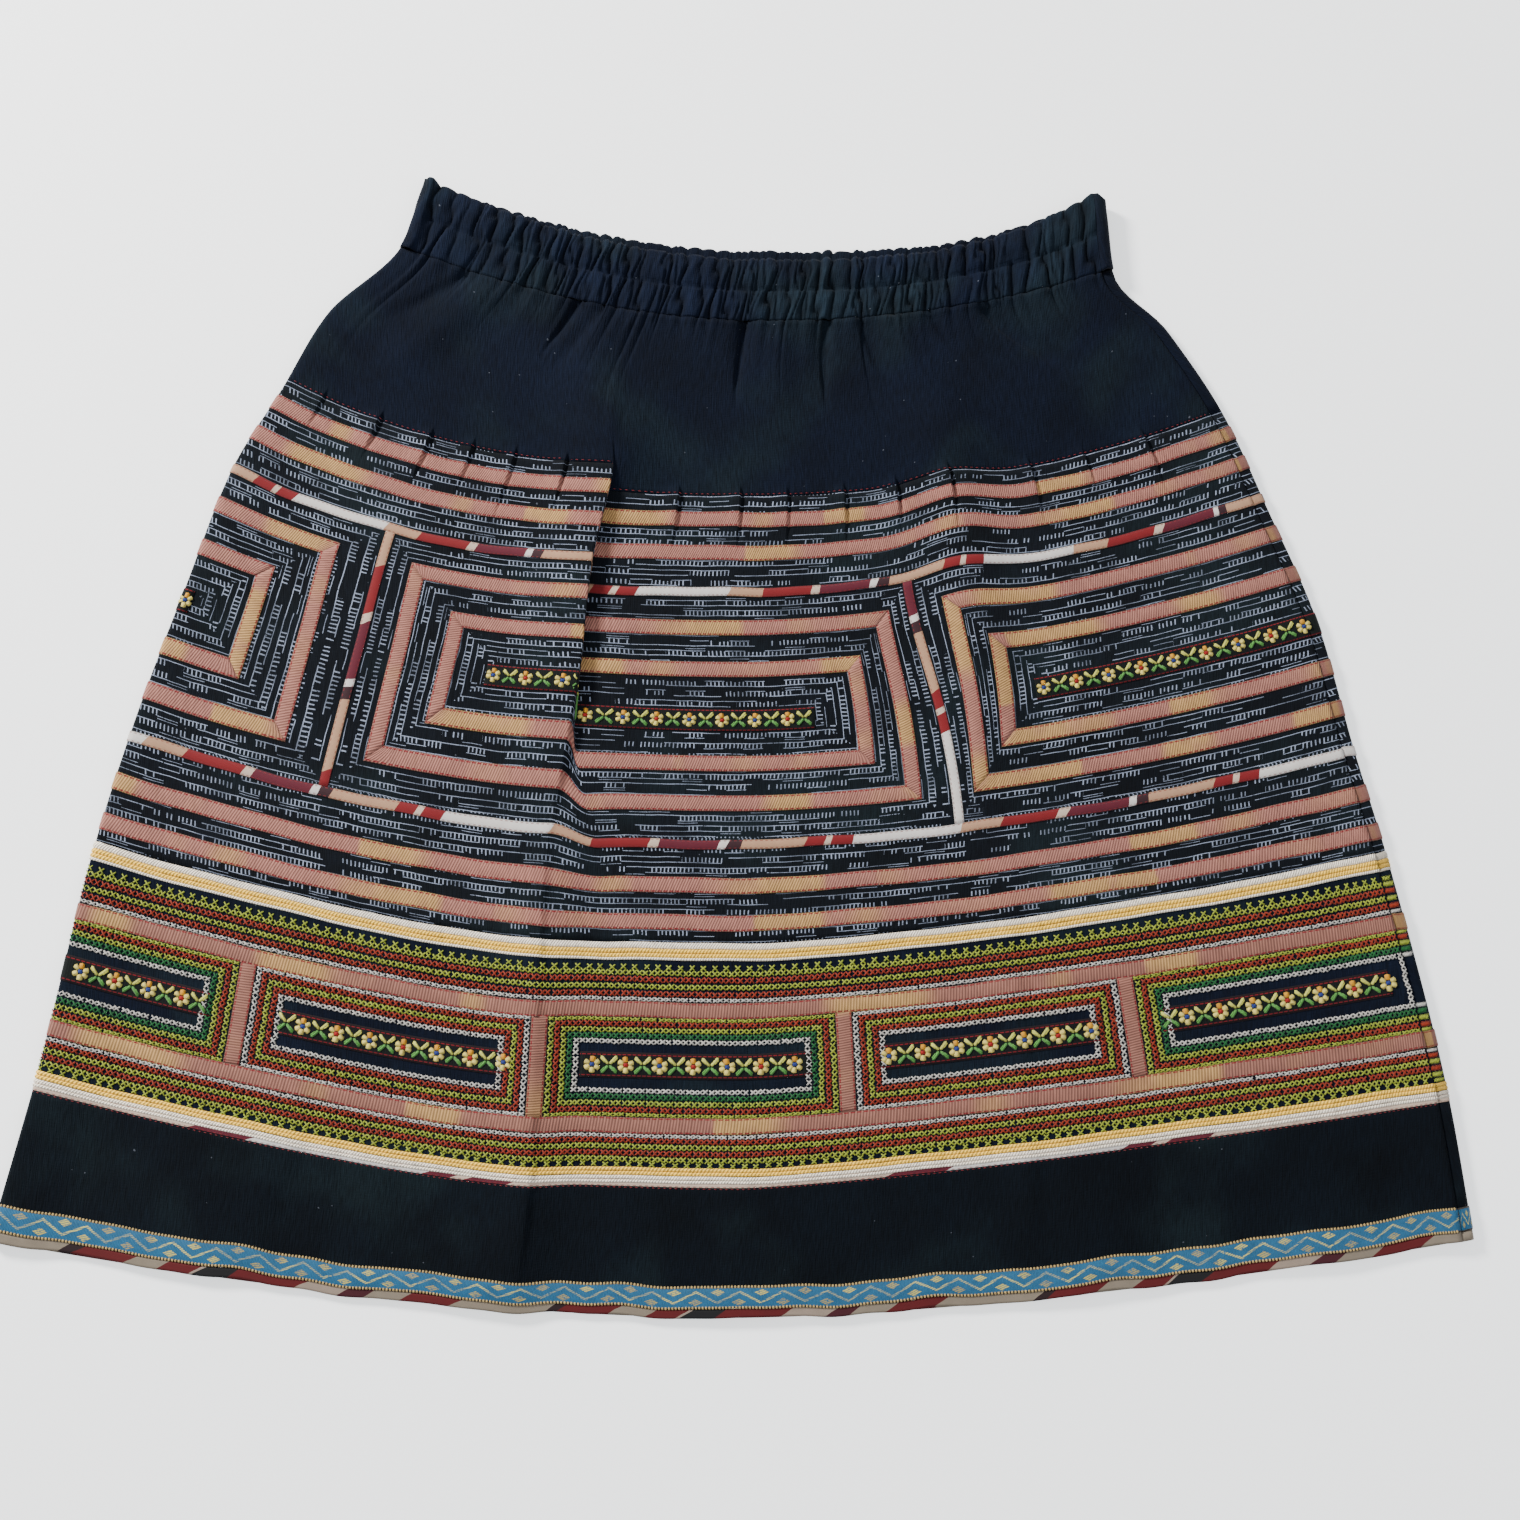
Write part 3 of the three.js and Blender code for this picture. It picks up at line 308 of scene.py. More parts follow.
def ripple(across, down, section):
    """Small unevenness of soft cloth, as a few slow waves, and puckers along the hem band's seam."""
    x = across * section["half"]
    near = bell(np.maximum(0, down - STITCHED_END) / PUCKER["reach"])
    near = near * smooth((down - PUCKER["begin"]) / PUCKER["fade_in"])
    sway = PUCKER["sway"] * np.sin(x / PUCKER["sway_pitch"])
    swell = 0.6 + 0.4 * np.sin(x / PUCKER["swell_pitch"])
    pucker = PUCKER["height"] * near * np.sin(x / PUCKER["pitch"] + sway) * swell
    return waves(SOFT_WAVES, x, down) + pucker


def front_height(across, down, section):
    inwards = section["half"] * (1 - np.abs(across))
    beyond = np.maximum(0, inwards - section["roll"] / 2)
    roll = (section["roll"] - section["top"]) * bell(beyond / ROLL_FADE)
    folds = fold_height(across, down, section) + ripple(across, down, section)
    gathers = yoke_gathers(across, down, section) * smooth(beyond / GATHER_CALM)
    return np.maximum(LOWEST_FRONT, section["top"] + roll + smooth(beyond / EDGE_CALM) * folds + gathers)


def overhang(across, down, section):
    """How far the overlap's edge leans over the cloth that comes out from under it."""
    strength = between(down, *(OVERHANG[key] for key in ("begin", "end", "fade_in", "fade_out")))
    along = overlap_away(across, section)
    width = section["spread"] * section["half"]
    before = bell(np.minimum(along, 0) * width / OVERHANG["before"])
    after = -bell(np.maximum(along - 1, 0) * width / OVERHANG["after"])
    inside = np.where(along < 1, lerp(1, -1, smooth(along)), after)
    return OVERHANG["reach"] * strength * np.where(along <= 0, before, inside)


def prepare(across, down):
    across, down = np.broadcast_arrays(np.asarray(across, float), np.asarray(down, float))
    return across, down, section_at(down)


def rolled_edge(from_edge, radius):
    """Height of the cloth where it rolls round the left edge."""
    return radius + np.sqrt(np.maximum(0, radius**2 - np.maximum(0, radius - from_edge) ** 2))


def front(across, down, out=0.0):
    """A point on the front in millimetres, moved outwards by out."""
    across, down, section = prepare(across, down)
    radius = section["roll"] / 2
    from_edge = section["half"] * (1 + across)
    height = np.where(
        from_edge < radius, rolled_edge(from_edge, radius), front_height(across, down, section))
    lean = clamp01(1 - from_edge / radius)
    x = section["middle"] + section["half"] * across + overhang(across, down, section) - out * lean
    y = WAIST_Y - down + front_rise(across, down, section)
    return np.stack([x, y, height + out * (1 - lean)], -1)


def fold_over(around, section, radius):
    """Where a point of the back lies: over the right edge or not, how far across and in, and its lean."""
    over = around > 1
    across = np.where(over, 2 - around, around)
    from_edge = section["half"] * (1 - np.abs(across))
    return over, across, from_edge, clamp01(1 - from_edge / radius)


def back_point(over, across, down, section, aside, height, lift=0.0):
    """A point of the back from its height, moved aside and lifted up along the cloth."""
    x = section["middle"] + section["half"] * across + np.sign(across) * aside
    rise = np.where(over, front_rise(across, down, section), back_rise(across, down, section))
    return np.stack([x, WAIST_Y - down + rise + lift, height], -1)


def back(around, down, out=0.0):
    """A point on the back. around runs on past 1 where the back comes up over the right edge."""
    around, down, section = prepare(around, down)
    radius = section["roll"] / 2
    over, across, _, lean = fold_over(around, section, radius)
    bulge = np.sqrt(1 - lean**2) * (radius - BACK_CLEAR + out)
    top = front_height(across, down, section) - BACK_CLEAR + out
    height = np.where(over, np.where(lean > 0, radius + bulge, top), radius - bulge)
    return back_point(over, across, down, section, (out - BACK_CLEAR) * lean, height)


# Gathers of the waistband and the yoke
GATHERS = 45
BAND_TOP = 9.8
BAND_ROLL = 11.4
BAND_RADIUS = BAND_ROLL / 2
BAND_DEPTH = 4.6
BAND_EDGE = 3
BAND_COLUMNS = ("down", "sink", "pinch")
BAND_ROWS = np.array([
    (0, 2.6, 0.5),
    (2.5, 1.5, 0.7),
    (9, 0, 1),
    (15.4, 0.9, 0.9),
    (17, 2.3, 0.75),
    (18.6, 0.9, 0.9),
    (25.5, 0.1, 1),
    (32, 0.7, 0.9),
    (34, 1.4, 0.8),
])
LOWER_CHANNEL = 15.8
CHANNEL_FADE = 2.4
# Sways of a gather: size, pitch down and turn from gather to gather
GATHER_SWAYS = ((0.15, 5.5, 2.1), (0.1, 3.1, 5.3))
SWAY_FADE = 6
SPLIT_DEPTH = 0.3
SPLIT_WIDTH = 0.09
SHALLOW = 0.6
EDGE_DENT = 0.8
FRILL = dict(ridge=2.2, valley=1.2, fade=1.5)
CORNER = dict(drop=8.5, start=0.95, width=0.05, fade=8)
INNER_FACE = dict(wall=3.4, edge_wall=2.4, sink=0.4, ridge=1.6, under=1.2)
OUTER_FACE = dict(dent=0.7, clear=0.1)
DEPTH_FROM = 2
DEPTH_FADE = 8
YOKE_GATHER = dict(height=4.0, level=0.75, fade=10.0, lift=2.0, lift_fade=8)


def gather_phase(place, channel):
    """Counts the gathers of the upper or lower channel from the left: a valley lies at each whole number."""
    count = np.arange(GATHERS)
    slip = scatter(count, 1, -0.175, 0.175) + channel * scatter(count, 11, -0.15, 0.35)
    valleys = (count + 0.15 + slip) / GATHERS
    return np.interp(place, np.concatenate([[-0.02], valleys, [1.02]]), np.arange(-1, GATHERS + 1))


def channel_ridge(place, down, channel):
    """0 in a deep valley of a channel's gathers and about 1 on a ridge, uneven from gather to gather."""
    phase = gather_phase(place, channel)
    sway = sum(size * np.sin(down / pitch + phase * turn) for size, pitch, turn in GATHER_SWAYS)
    phase = phase + sway * smooth(down / SWAY_FADE)
    count = np.floor(phase)
    shape = np.abs(np.sin(np.pi * phase)) ** 0.5
    shallow = SHALLOW * scatter(np.round(phase), 13 + channel) ** 2
    split = bell((phase - count - scatter(count, 6, 0.3, 0.7)) / SPLIT_WIDTH)
    split = SPLIT_DEPTH * (scatter(count, 5) > 0.5) * split
    return shape * (scatter(count, 3 + channel, 0.65, 1) - split) + (1 - shape) * shallow


def gather_ridge(place, down):
    lower = smooth((down - LOWER_CHANNEL) / CHANNEL_FADE)
    return lerp(channel_ridge(place, down, 0), channel_ridge(place, down, 1), lower)


def frill(across, down, ridge):
    """How far the waist's upper edge stands up on a ridge, with a rounded upper right corner."""
    corner = CORNER["drop"] * smooth((across - CORNER["start"]) / CORNER["width"])
    stand = np.exp(-down / FRILL["fade"]) * (FRILL["ridge"] * ridge - FRILL["valley"])
    return stand - corner * np.exp(-down / CORNER["fade"])


def waist_place(across, section):
    left = section["left"] + BAND_RADIUS + BAND_EDGE
    right = section["right"] - SIDE_SEAM_IN
    return (section["middle"] + section["half"] * across - left) / (right - left)


def yoke_gathers(across, down, section):
    """The waistband's gathers run out into the yoke, some of them further than others."""
    if np.max(down) < WAIST_SEAM - 1 or np.min(down) > YOKE_SEAM:
        return 0.0
    place = waist_place(across, section)
    reach = YOKE_GATHER["fade"] * (0.4 + 2.4 * scatter(np.floor(gather_phase(place, 1)), 9) ** 2)
    below = np.maximum(0, down - WAIST_SEAM)
    shape = gather_ridge(place, WAIST_SEAM + 0 * down) - YOKE_GATHER["level"]
    lift = YOKE_GATHER["lift"] * np.exp(-below / YOKE_GATHER["lift_fade"])
    return YOKE_GATHER["height"] * shape * np.exp(-below / reach) + lift


def waist_front(across, down):
    """A point on the gathered front of the waistband."""
    across, down, section = prepare(across, down)
    rows = smooth_table(BAND_ROWS, BAND_COLUMNS, down)
    from_edge = section["half"] * (1 + across)
    beyond = np.maximum(0, section["half"] * (1 - np.abs(across)) - BAND_RADIUS)
    top = BAND_TOP + (BAND_ROLL - BAND_TOP) * bell(beyond / ROLL_FADE)
    ridge = gather_ridge(waist_place(across, section), down)
    dent = EDGE_DENT * (1 - ridge)
    depth = BAND_DEPTH * rows["pinch"] * smooth((from_edge - DEPTH_FROM) / DEPTH_FADE)
    gathered = top - rows["sink"] - depth * (1 - ridge)
    rolled = rolled_edge(from_edge, BAND_RADIUS) - dent * smooth(from_edge / BAND_EDGE)
    inside = lerp(rolled, gathered, smooth((from_edge - BAND_RADIUS) / BAND_EDGE))
    height = np.where(from_edge < BAND_RADIUS, rolled, inside)
    x = section["middle"] + section["half"] * across + dent * clamp01(1 - from_edge / BAND_RADIUS)
    y = WAIST_Y - down + front_rise(across, down, section) + frill(across, down, ridge)
    return np.stack([x, y, height], -1)


def waist_back(around, down, inner):
    """A point on the waistband's back: its outer face, which lies flat, or its gathered inner face."""
    around, down, section = prepare(around, down)
    sink = smooth_table(BAND_ROWS, BAND_COLUMNS, down)["sink"]
    over, across, from_edge, lean = fold_over(around, section, BAND_RADIUS)
    ridge = gather_ridge(waist_place(across, section) * 0.98 + 0.01, down + 3)
    if inner:
        gathered = INNER_FACE["wall"] - sink * INNER_FACE["sink"] + INNER_FACE["ridge"] * (ridge - SHALLOW)
        inwards = lerp(gathered, INNER_FACE["edge_wall"], smooth(lean * 2))
        top = BAND_TOP - sink - (inwards + INNER_FACE["under"])
    else:
        inwards = OUTER_FACE["dent"] * (1 - ridge) * smooth(lean * 3) + OUTER_FACE["clear"]
        top = BAND_TOP - sink - BAND_DEPTH * OUTER_FACE["dent"] * (1 - ridge)
    bulge = np.sqrt(1 - lean**2) * (BAND_RADIUS - inwards)
    upper = lerp(BAND_RADIUS + bulge, top, smooth((from_edge - BAND_RADIUS) / BAND_EDGE))
    height = np.where(over, upper, BAND_RADIUS - bulge)
    return back_point(over, across, down, section, -inwards * lean, height, frill(across, down, ridge))


# Sampling: u is a place across before each row's own roll and side seam are allowed for
NOMINAL_HALF = 285
ROLL_SHARE = 0.0105
ROLL_BLEND = 0.05
SEAM_FROM = 0.9
SEAM_SPAN = 0.1
BACK_END = 1 + SEAM_SPAN
QUARTER = 1 - np.cos(np.linspace(0, math.pi / 2, 8))
TUCK_STEPS = np.array([-6, -4, -2.4, -1.2, -0.4, 0, 0.4, 0.8, 1.2, 1.6, 2.2, 3, 4.5]) / NOMINAL_HALF
OVERLAP_STEPS = np.linspace(-0.035, 0.05, 35)
SHARP_CREASES = np.array([-0.505, -0.03, 0.187, 0.41, 0.66])
LEAST_STEP = 0.0011


def widen(inwards, share):
    """Stretches the distance from an edge, so that the roll takes up this row's share of it."""
    beyond = inwards + (share - ROLL_SHARE) * np.exp(-(inwards - ROLL_SHARE) / ROLL_BLEND)
    return np.where(inwards < ROLL_SHARE, inwards * share / ROLL_SHARE, beyond)


def front_place(u, down, radius=None):
    section = section_at(down)
    share = (section["roll"] / 2 if radius is None else radius) / section["half"]
    seam = 1 - SIDE_SEAM_IN / section["half"]
    right = lerp(SEAM_FROM, seam, (u - SEAM_FROM) / (1 - SEAM_FROM))
    return np.where(u < 0, widen(u + 1, share) - 1, np.where(u > SEAM_FROM, right, u))


def back_place(u, down, radius=None):
    section = section_at(down)
    share = (section["roll"] / 2 if radius is None else radius) / section["half"]
    under = np.sign(u) * (1 - widen(1 - np.minimum(np.abs(u), 1), share))
    over = 1 + (u - 1) / SEAM_SPAN * SIDE_SEAM_IN / section["half"]
    return np.where(u > 1, over, under)


def thin_out(places, start, end):
    """Sorts samples, keeps those from start to end and drops those too close to the one before."""
    places = np.unique(places[(places >= start) & (places <= end)])
    kept = [places[0]]
    for place in places[1:-1]:
        if place - kept[-1] > LEAST_STEP and places[-1] - place > LEAST_STEP:
            kept.append(place)
    return np.array([*kept, places[-1]])


def even_samples(start, end, step):
    count = max(3, int((end - start) * NOMINAL_HALF / step / COARSE) + 1)
    return np.linspace(start, end, count)


def front_samples(start, end, step, fine=True):
    """Places from start to end, closer together at the left edge, the overlap, tucks and creases."""
    even = even_samples(start, end, step)
    even = even[(even > -1 + ROLL_SHARE * 1.3) | (even == start)]
    places = [even, -1 + ROLL_SHARE * QUARTER, OVERLAP_ACROSS + OVERLAP_STEPS]
    if fine:
        places += [(middles[:, None] + TUCK_STEPS).ravel() for middles in (TUCKS, SHARP_CREASES)]
    return thin_out(np.concatenate(places), start, end)


def back_samples(start, end, step, fine=True):
    """Places from start down to end, closer together at the rolled edges. The back has no fine creases."""
    even = even_samples(end, start, step)
    even = even[(np.abs(even) <= 1 - ROLL_SHARE * 1.3) | (even == start) | (even == end)]
    strip = [*(1 + 0.5 * SEAM_SPAN * QUARTER), 1 + 0.75 * SEAM_SPAN]
    places = [even, -1 + ROLL_SHARE * QUARTER, 1 - ROLL_SHARE * QUARTER, strip]
    return thin_out(np.concatenate(places), end, start)[::-1]


# Each side has its surface, the samples on it, its ends from left to right as its own outside is seen,
# the look's shift along its trims, how far apart its samples lie, and how high its cords and stitches are
FRONT = SimpleNamespace(
    name="front", surface=front, place=front_place, samples=front_samples, ends=(-1, 1), sign=1,
    shift=0, step=2.5, upright_step=3, cord=0.75, stitch_faces=16,
)
BACK = SimpleNamespace(
    name="back", surface=back, place=back_place, samples=back_samples, ends=(BACK_END, -1), sign=-1,
    shift=1300, step=6, upright_step=7, cord=0.35, stitch_faces=8,
)
SIDES = (FRONT, BACK)


# Meshes
def unit(vectors):
    return vectors / np.maximum(np.linalg.norm(vectors, axis=-1, keepdims=True), 1e-9)


class Soup:
    """Gathers points, faces of one size and UV maps that become one object."""

    def __init__(self):
        self.points = []
        self.faces = []
        self.uvs = {}
        self.count = 0

    def add(self, points, faces, uvs):
        self.points.append(points.reshape(-1, 3))
        self.faces.append(faces + self.count)
        for key, values in uvs.items():
            self.uvs.setdefault(key, []).append(values.reshape(-1, 2))
        self.count += len(self.points[-1])

    def build(self, name):
        points = np.concatenate(self.points) * MM
        faces = np.concatenate(self.faces).astype(np.int32)
        count, sides = faces.shape
        mesh = bpy.data.meshes.new(name)
        mesh.vertices.add(len(points))
        mesh.vertices.foreach_set("co", points.astype(np.float32).ravel())
        mesh.loops.add(count * sides)
        mesh.loops.foreach_set("vertex_index", faces.ravel())
        mesh.polygons.add(count)
        mesh.polygons.foreach_set("loop_start", np.arange(count, dtype=np.int32) * sides)
        mesh.update(calc_edges=True)
        mesh.polygons.foreach_set("use_smooth", np.ones(count, bool))
        for key, parts in self.uvs.items():
            corners = np.concatenate(parts)[faces.ravel()]
            mesh.uv_layers.new(name=key).data.foreach_set("uv", corners.astype(np.float32).ravel())
        mesh.validate()
        return new_object(name, mesh)


def shell_faces(rows, columns):
    """Quads of a closed shell whose outer grid comes before its inner one."""
    number = np.arange(rows * columns).reshape(rows, columns)
    a, b, c, d = number[:-1, :-1], number[:-1, 1:], number[1:, :-1], number[1:, 1:]
    below = rows * columns
    faces = [np.stack([a, c, d, b], -1).reshape(-1, 4), np.stack([a, b, d, c], -1).reshape(-1, 4) + below]
    for edge in (number[:, 0], number[-1, :], number[::-1, -1], number[0, ::-1]):
        start, end = edge[:-1], edge[1:]
        faces.append(np.stack([end, start, start + below, end + below], -1))
    return np.concatenate(faces)


BAKE_MARGIN = 0.003
BAKE_INNER = 0.05


def bake_map(rows, columns, low, high):
    """Where the outer and inner grids of a shell lie on its bake map, between two heights."""
    i, j = np.meshgrid(np.linspace(0, 1, rows), np.linspace(0, 1, columns), indexing="ij")
    across = BAKE_MARGIN + (1 - 2 * BAKE_MARGIN) * j
    outer = BAKE_INNER + BAKE_MARGIN + (1 - BAKE_INNER - 2 * BAKE_MARGIN) * i
    inner = BAKE_MARGIN + (BAKE_INNER - 2 * BAKE_MARGIN) * i
    return np.concatenate([np.stack([across, lerp(low, high, v)], -1).reshape(-1, 2) for v in (outer, inner)])


def add_shell(soup, outer, inner, maps, share=(0.0, 1.0)):
    """A closed shell between two grids of points. inner may be how thick the shell is instead."""
    if np.ndim(inner) == 0:
        normals = unit(np.cross(np.gradient(outer, axis=0), np.gradient(outer, axis=1)))
        inner = outer - normals * inner
    rows, columns, _ = outer.shape
    uvs = {key: np.stack([values, values]) for key, values in maps.items()}
    uvs["OFBake"] = bake_map(rows, columns, *share)
    soup.add(np.stack([outer, inner]), shell_faces(rows, columns), uvs)


TRIMS = {}


def finish_piece(soup, name, look, nodes=(), panel=None):
    """One piece, which replaces nodes of the solids and may be sewn on a panel."""
    piece = soup.build(name)
    if panel:
        TRIMS.setdefault(panel, []).append(piece)
    piece.data.materials.append(LOOKS[look])
    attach(piece, "root")
    if nodes:
        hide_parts(*nodes)
    return piece


# A small way to write shader arithmetic
def add_node(tree, kind, inputs=None, **settings):
    """A shader node with its settings, and with wires, sockets or plain values as inputs."""
    node = tree.nodes.new(f"ShaderNode{kind}")
    for name, value in settings.items():
        setattr(node, name, value)
    for key, value in (inputs or {}).items():
        source = value.socket if isinstance(value, Wire) else value
        if isinstance(source, bpy.types.NodeSocket):
            tree.links.new(source, node.inputs[key])
        else:
            node.inputs[key].default_value = source
    return node


class Wire:
    """A socket that can be added, multiplied and compared like a number."""

    def __init__(self, tree, socket):
        self.tree = tree
        self.socket = socket

    def apply(self, operation, *others):
        node = add_node(self.tree, "Math", dict(enumerate((self, *others))), operation=operation)
        return Wire(self.tree, node.outputs[0])

    __add__ = partialmethod(apply, "ADD")
    __sub__ = partialmethod(apply, "SUBTRACT")
    __mul__ = partialmethod(apply, "MULTIPLY")
    __truediv__ = partialmethod(apply, "DIVIDE")
    above = partialmethod(apply, "GREATER_THAN")
    below = partialmethod(apply, "LESS_THAN")
    floor = partialmethod(apply, "FLOOR")
    fraction = partialmethod(apply, "FRACT")
    size = partialmethod(apply, "ABSOLUTE")
    top = partialmethod(apply, "MAXIMUM")
    least = partialmethod(apply, "MINIMUM")

    def inverse(self):
        return (self * -1) + 1

    def near(self, centre, half_width):
        """1 where this lies within half_width of centre."""
        return (self - centre).size().below(half_width)

    def swing(self, pitch):
        """Runs from 1 down to 0 and back to 1 over each pitch."""
        return ((self / pitch).fraction() * 2 - 1).size()

    def soft(self, low, high):
        """0 below low, 1 above high and smooth between."""
        node = add_node(
            self.tree, "MapRange", {0: self, 1: low, 2: high}, interpolation_type="SMOOTHSTEP")
        return Wire(self.tree, node.outputs[0])


DYE_SHARE = 0.55
SHEEN_ROUGHNESS = 0.45


class Look:
    """A material whose colour and bump are built step by step.

    Every colour is darker by one share, dim, because the light is set for a bright floor.
    """

    def __init__(self, name, colour, roughness=0.85, sheen=0.0, specular=0.3, dim=DYE_SHARE):
        self.dim = dim
        self.material = bpy.data.materials.new(name)
        self.material.use_nodes = True
        self.tree = self.material.node_tree
        self.shader = self.tree.nodes["Principled BSDF"]
        self.shader.inputs["Roughness"].default_value = roughness
        self.shader.inputs["Specular IOR Level"].default_value = specular
        self.shader.inputs["Sheen Weight"].default_value = sheen
        self.shader.inputs["Sheen Roughness"].default_value = SHEEN_ROUGHNESS
        self.colour = self.rgb(colour)
        self.height = None

    def dyed(self, colour):
        """An sRGB colour out of 255 as a dimmed linear one."""
        parts = np.asarray(colour) / 255
        parts = np.where(parts <= 0.04045, parts / 12.92, ((parts + 0.055) / 1.055) ** 2.4)
        return (*[self.dim * float(part) for part in parts], 1)

    def add(self, kind, inputs=None, output=0, **settings):
        return add_node(self.tree, kind, inputs, **settings).outputs[output]

    def rgb(self, colour):
        socket = self.add("RGB")
        socket.default_value = self.dyed(colour)
        return socket

    def cloth(self, name="cloth"):
        """The two coordinates of a UV map, in millimetres."""
        split = add_node(self.tree, "SeparateXYZ", {0: self.add("UVMap", uv_map=name)})
        return tuple(Wire(self.tree, split.outputs[place]) / MM for place in (0, 1))

    def noise(self, x, y, size, detail=2.0, z=0.0):
        """Smooth noise between 0 and 1, with features about size millimetres wide."""
        place = self.add("CombineXYZ", {0: x / size, 1: y / size, 2: z})
        return Wire(self.tree, self.add("TexNoise", {"Vector": place, "Scale": 1.0, "Detail": detail}))

    def dice(self, x, y, z=0.0):
        """A repeatable number between 0 and 1 for each triple."""
        place = self.add("CombineXYZ", {0: x, 1: y, 2: z})
        return Wire(self.tree, self.add("TexWhiteNoise", {0: place}))

    def paint(self, colour, where):
        """Lays a colour over the look where the mask is 1."""
        inputs = {0: where, 6: self.colour, 7: self.rgb(colour)}
        self.colour = self.add("Mix", inputs, output=2, data_type="RGBA")

    def blotch(self, colour, x, y, size, low, high, strength, **noise):
        """Paints a colour where a noise runs from low to high."""
        self.paint(colour, self.noise(x, y, size, **noise).soft(low, high) * strength)

    def patches(self, place, stops):
        """Takes the colour of the stretch that place, between 0 and 1, falls in."""
        node = add_node(self.tree, "ValToRGB", {0: place})
        ramp = node.color_ramp
        ramp.interpolation = "CONSTANT"
        total = sum(width for width, _ in stops)
        start = 0.0
        for number, (width, name) in enumerate(stops):
            element = ramp.elements[0] if number == 0 else ramp.elements.new(start / total)
            element.position = start / total
            element.color = self.dyed(PRINT[name])
            start += width
        ramp.elements.remove(ramp.elements[-1])
        self.colour = node.outputs[0]

    def shade(self, factor):
        """Darkens or lightens the colour by a wire."""
        self.colour = self.add("VectorMath", {0: self.colour, "Scale": factor}, operation="SCALE")

    def mottle(self, x, y, size, depth, least, **noise):
        """Uneven tone: the colour times a noise that runs from least up to least and depth together."""
        self.shade(self.noise(x, y, size, **noise) * depth + least)

    def raise_by(self, height):
        self.height = height if self.height is None else self.height + height

    def done(self, bump=0.0):
        """Joins the colour, and the bump with its height in millimetres, to the shader."""
        self.tree.links.new(self.colour, self.shader.inputs["Base Color"])
        if self.height is not None:
            inputs = {"Strength": 1.0, "Distance": bump * MM, "Height": self.height}
            self.tree.links.new(self.add("Bump", inputs), self.shader.inputs["Normal"])
        return self.material


# Colours, as sRGB out of 255
BLACK = (11, 19, 36)
HEM_BLACK = (7, 15, 24)
BATIK_BLACK = (11, 16, 24)
TEAL = (28, 43, 48)
LINT = (120, 126, 138)
BATIK_LINE = (172, 184, 208)
PINK = (194, 131, 116)
MAUVE = (174, 118, 102)
TAN = (222, 174, 108)
PINK_THREAD = (150, 36, 44)
RED_THREAD = (150, 32, 42)
CORD_WHITE = (252, 240, 220)
CORD_YELLOW = (255, 204, 74)
BLUE = (34, 110, 154)
PALE_GOLD = (222, 216, 138)
GOLD = (232, 200, 60)
PALE_SHINE = (236, 232, 130)
BEAD_GOLD = (224, 192, 122)
BEAD_BED = (58, 50, 40)
RIBBON_BLACK = (14, 18, 20)
RIBBON_EDGE = (40, 22, 26)
RIBBON_GREEN = (38, 58, 36)
FLOSS = dict(
    yellow_green=(178, 192, 56), brick=(172, 50, 12), green=(16, 112, 52), white=(228, 224, 216),
    petal_cream=(252, 232, 120), petal_gold=(250, 176, 30), centre_red=(190, 32, 26),
    centre_blue=(44, 66, 150), leaf_light=(236, 236, 110), leaf_green=(96, 168, 74),
)
PRINT = dict(
    white=(250, 244, 238), tan=(210, 164, 130), red=(142, 16, 24), burgundy=(104, 16, 40),
    cream=(236, 210, 188), beige=(208, 190, 166), black=(20, 20, 26), dark=(56, 18, 28),
)

WEAVE_PITCH = 0.9


def weave(look, x, y):
    """Upright ribs of a plain cotton, with thick and thin threads, fading and lint."""
    fine = WEAVE_PITCH * 0.8
    threads = look.noise(x, y / 9, fine, detail=1.0) + look.noise(x / 4, y, fine, z=2.0) * 0.5
    look.raise_by(threads * 2.2 + x.swing(WEAVE_PITCH) * 0.25)
    look.mottle(x, y, size=42, depth=1.5, least=0.25, detail=4.0)
    look.blotch(TEAL, x, y, size=64, low=0.46, high=0.68, strength=0.45, z=21.0)
    look.mottle(x, y / 6, size=1.1, depth=1.5, least=0.25)
    speck = look.noise(x, y, 2.2, detail=0.0, z=3.0).above(0.86)
    look.paint(LINT, speck * look.noise(x, y, 26, z=8.0).above(0.52) * 0.5)


def black_cloth(name, colour, worn=False):
    """Plain blue-black cotton. Where it is gathered, its ridges are lighter, partly as rubbed cloth and
    partly as painted light, and its valleys are darker as painted shade.
    """
    look = Look(name, colour, roughness=0.92, sheen=0.02, specular=0.1)
    weave(look, *look.cloth())
    if worn:
        # Painted highlight on the gathers' ridges and painted shade in their valleys, partly also rubbed
        # cloth
        ridge = look.cloth("wear")[0] * MM
        look.shade(ridge * 1.4 + 0.35)
    return look.done(0.2)


RING_BAND = 62
COMB_PITCH = 5.2
COMB_SHIFT = 1.75
TICK_PITCH = 2.0
LONG_PIECE = 24
SHORT_PIECE = 10
# Lines of a comb: how high in it, least half width, which pieces it breaks into, seed and share of gaps
COMB_LINES = [
    (0.75, 0.09, LONG_PIECE, 1.0, 0.17),
    (3.4, 0.06, SHORT_PIECE, 4.0, 0.58),
    (4.5, 0.02, SHORT_PIECE, 6.0, 0.86),
]


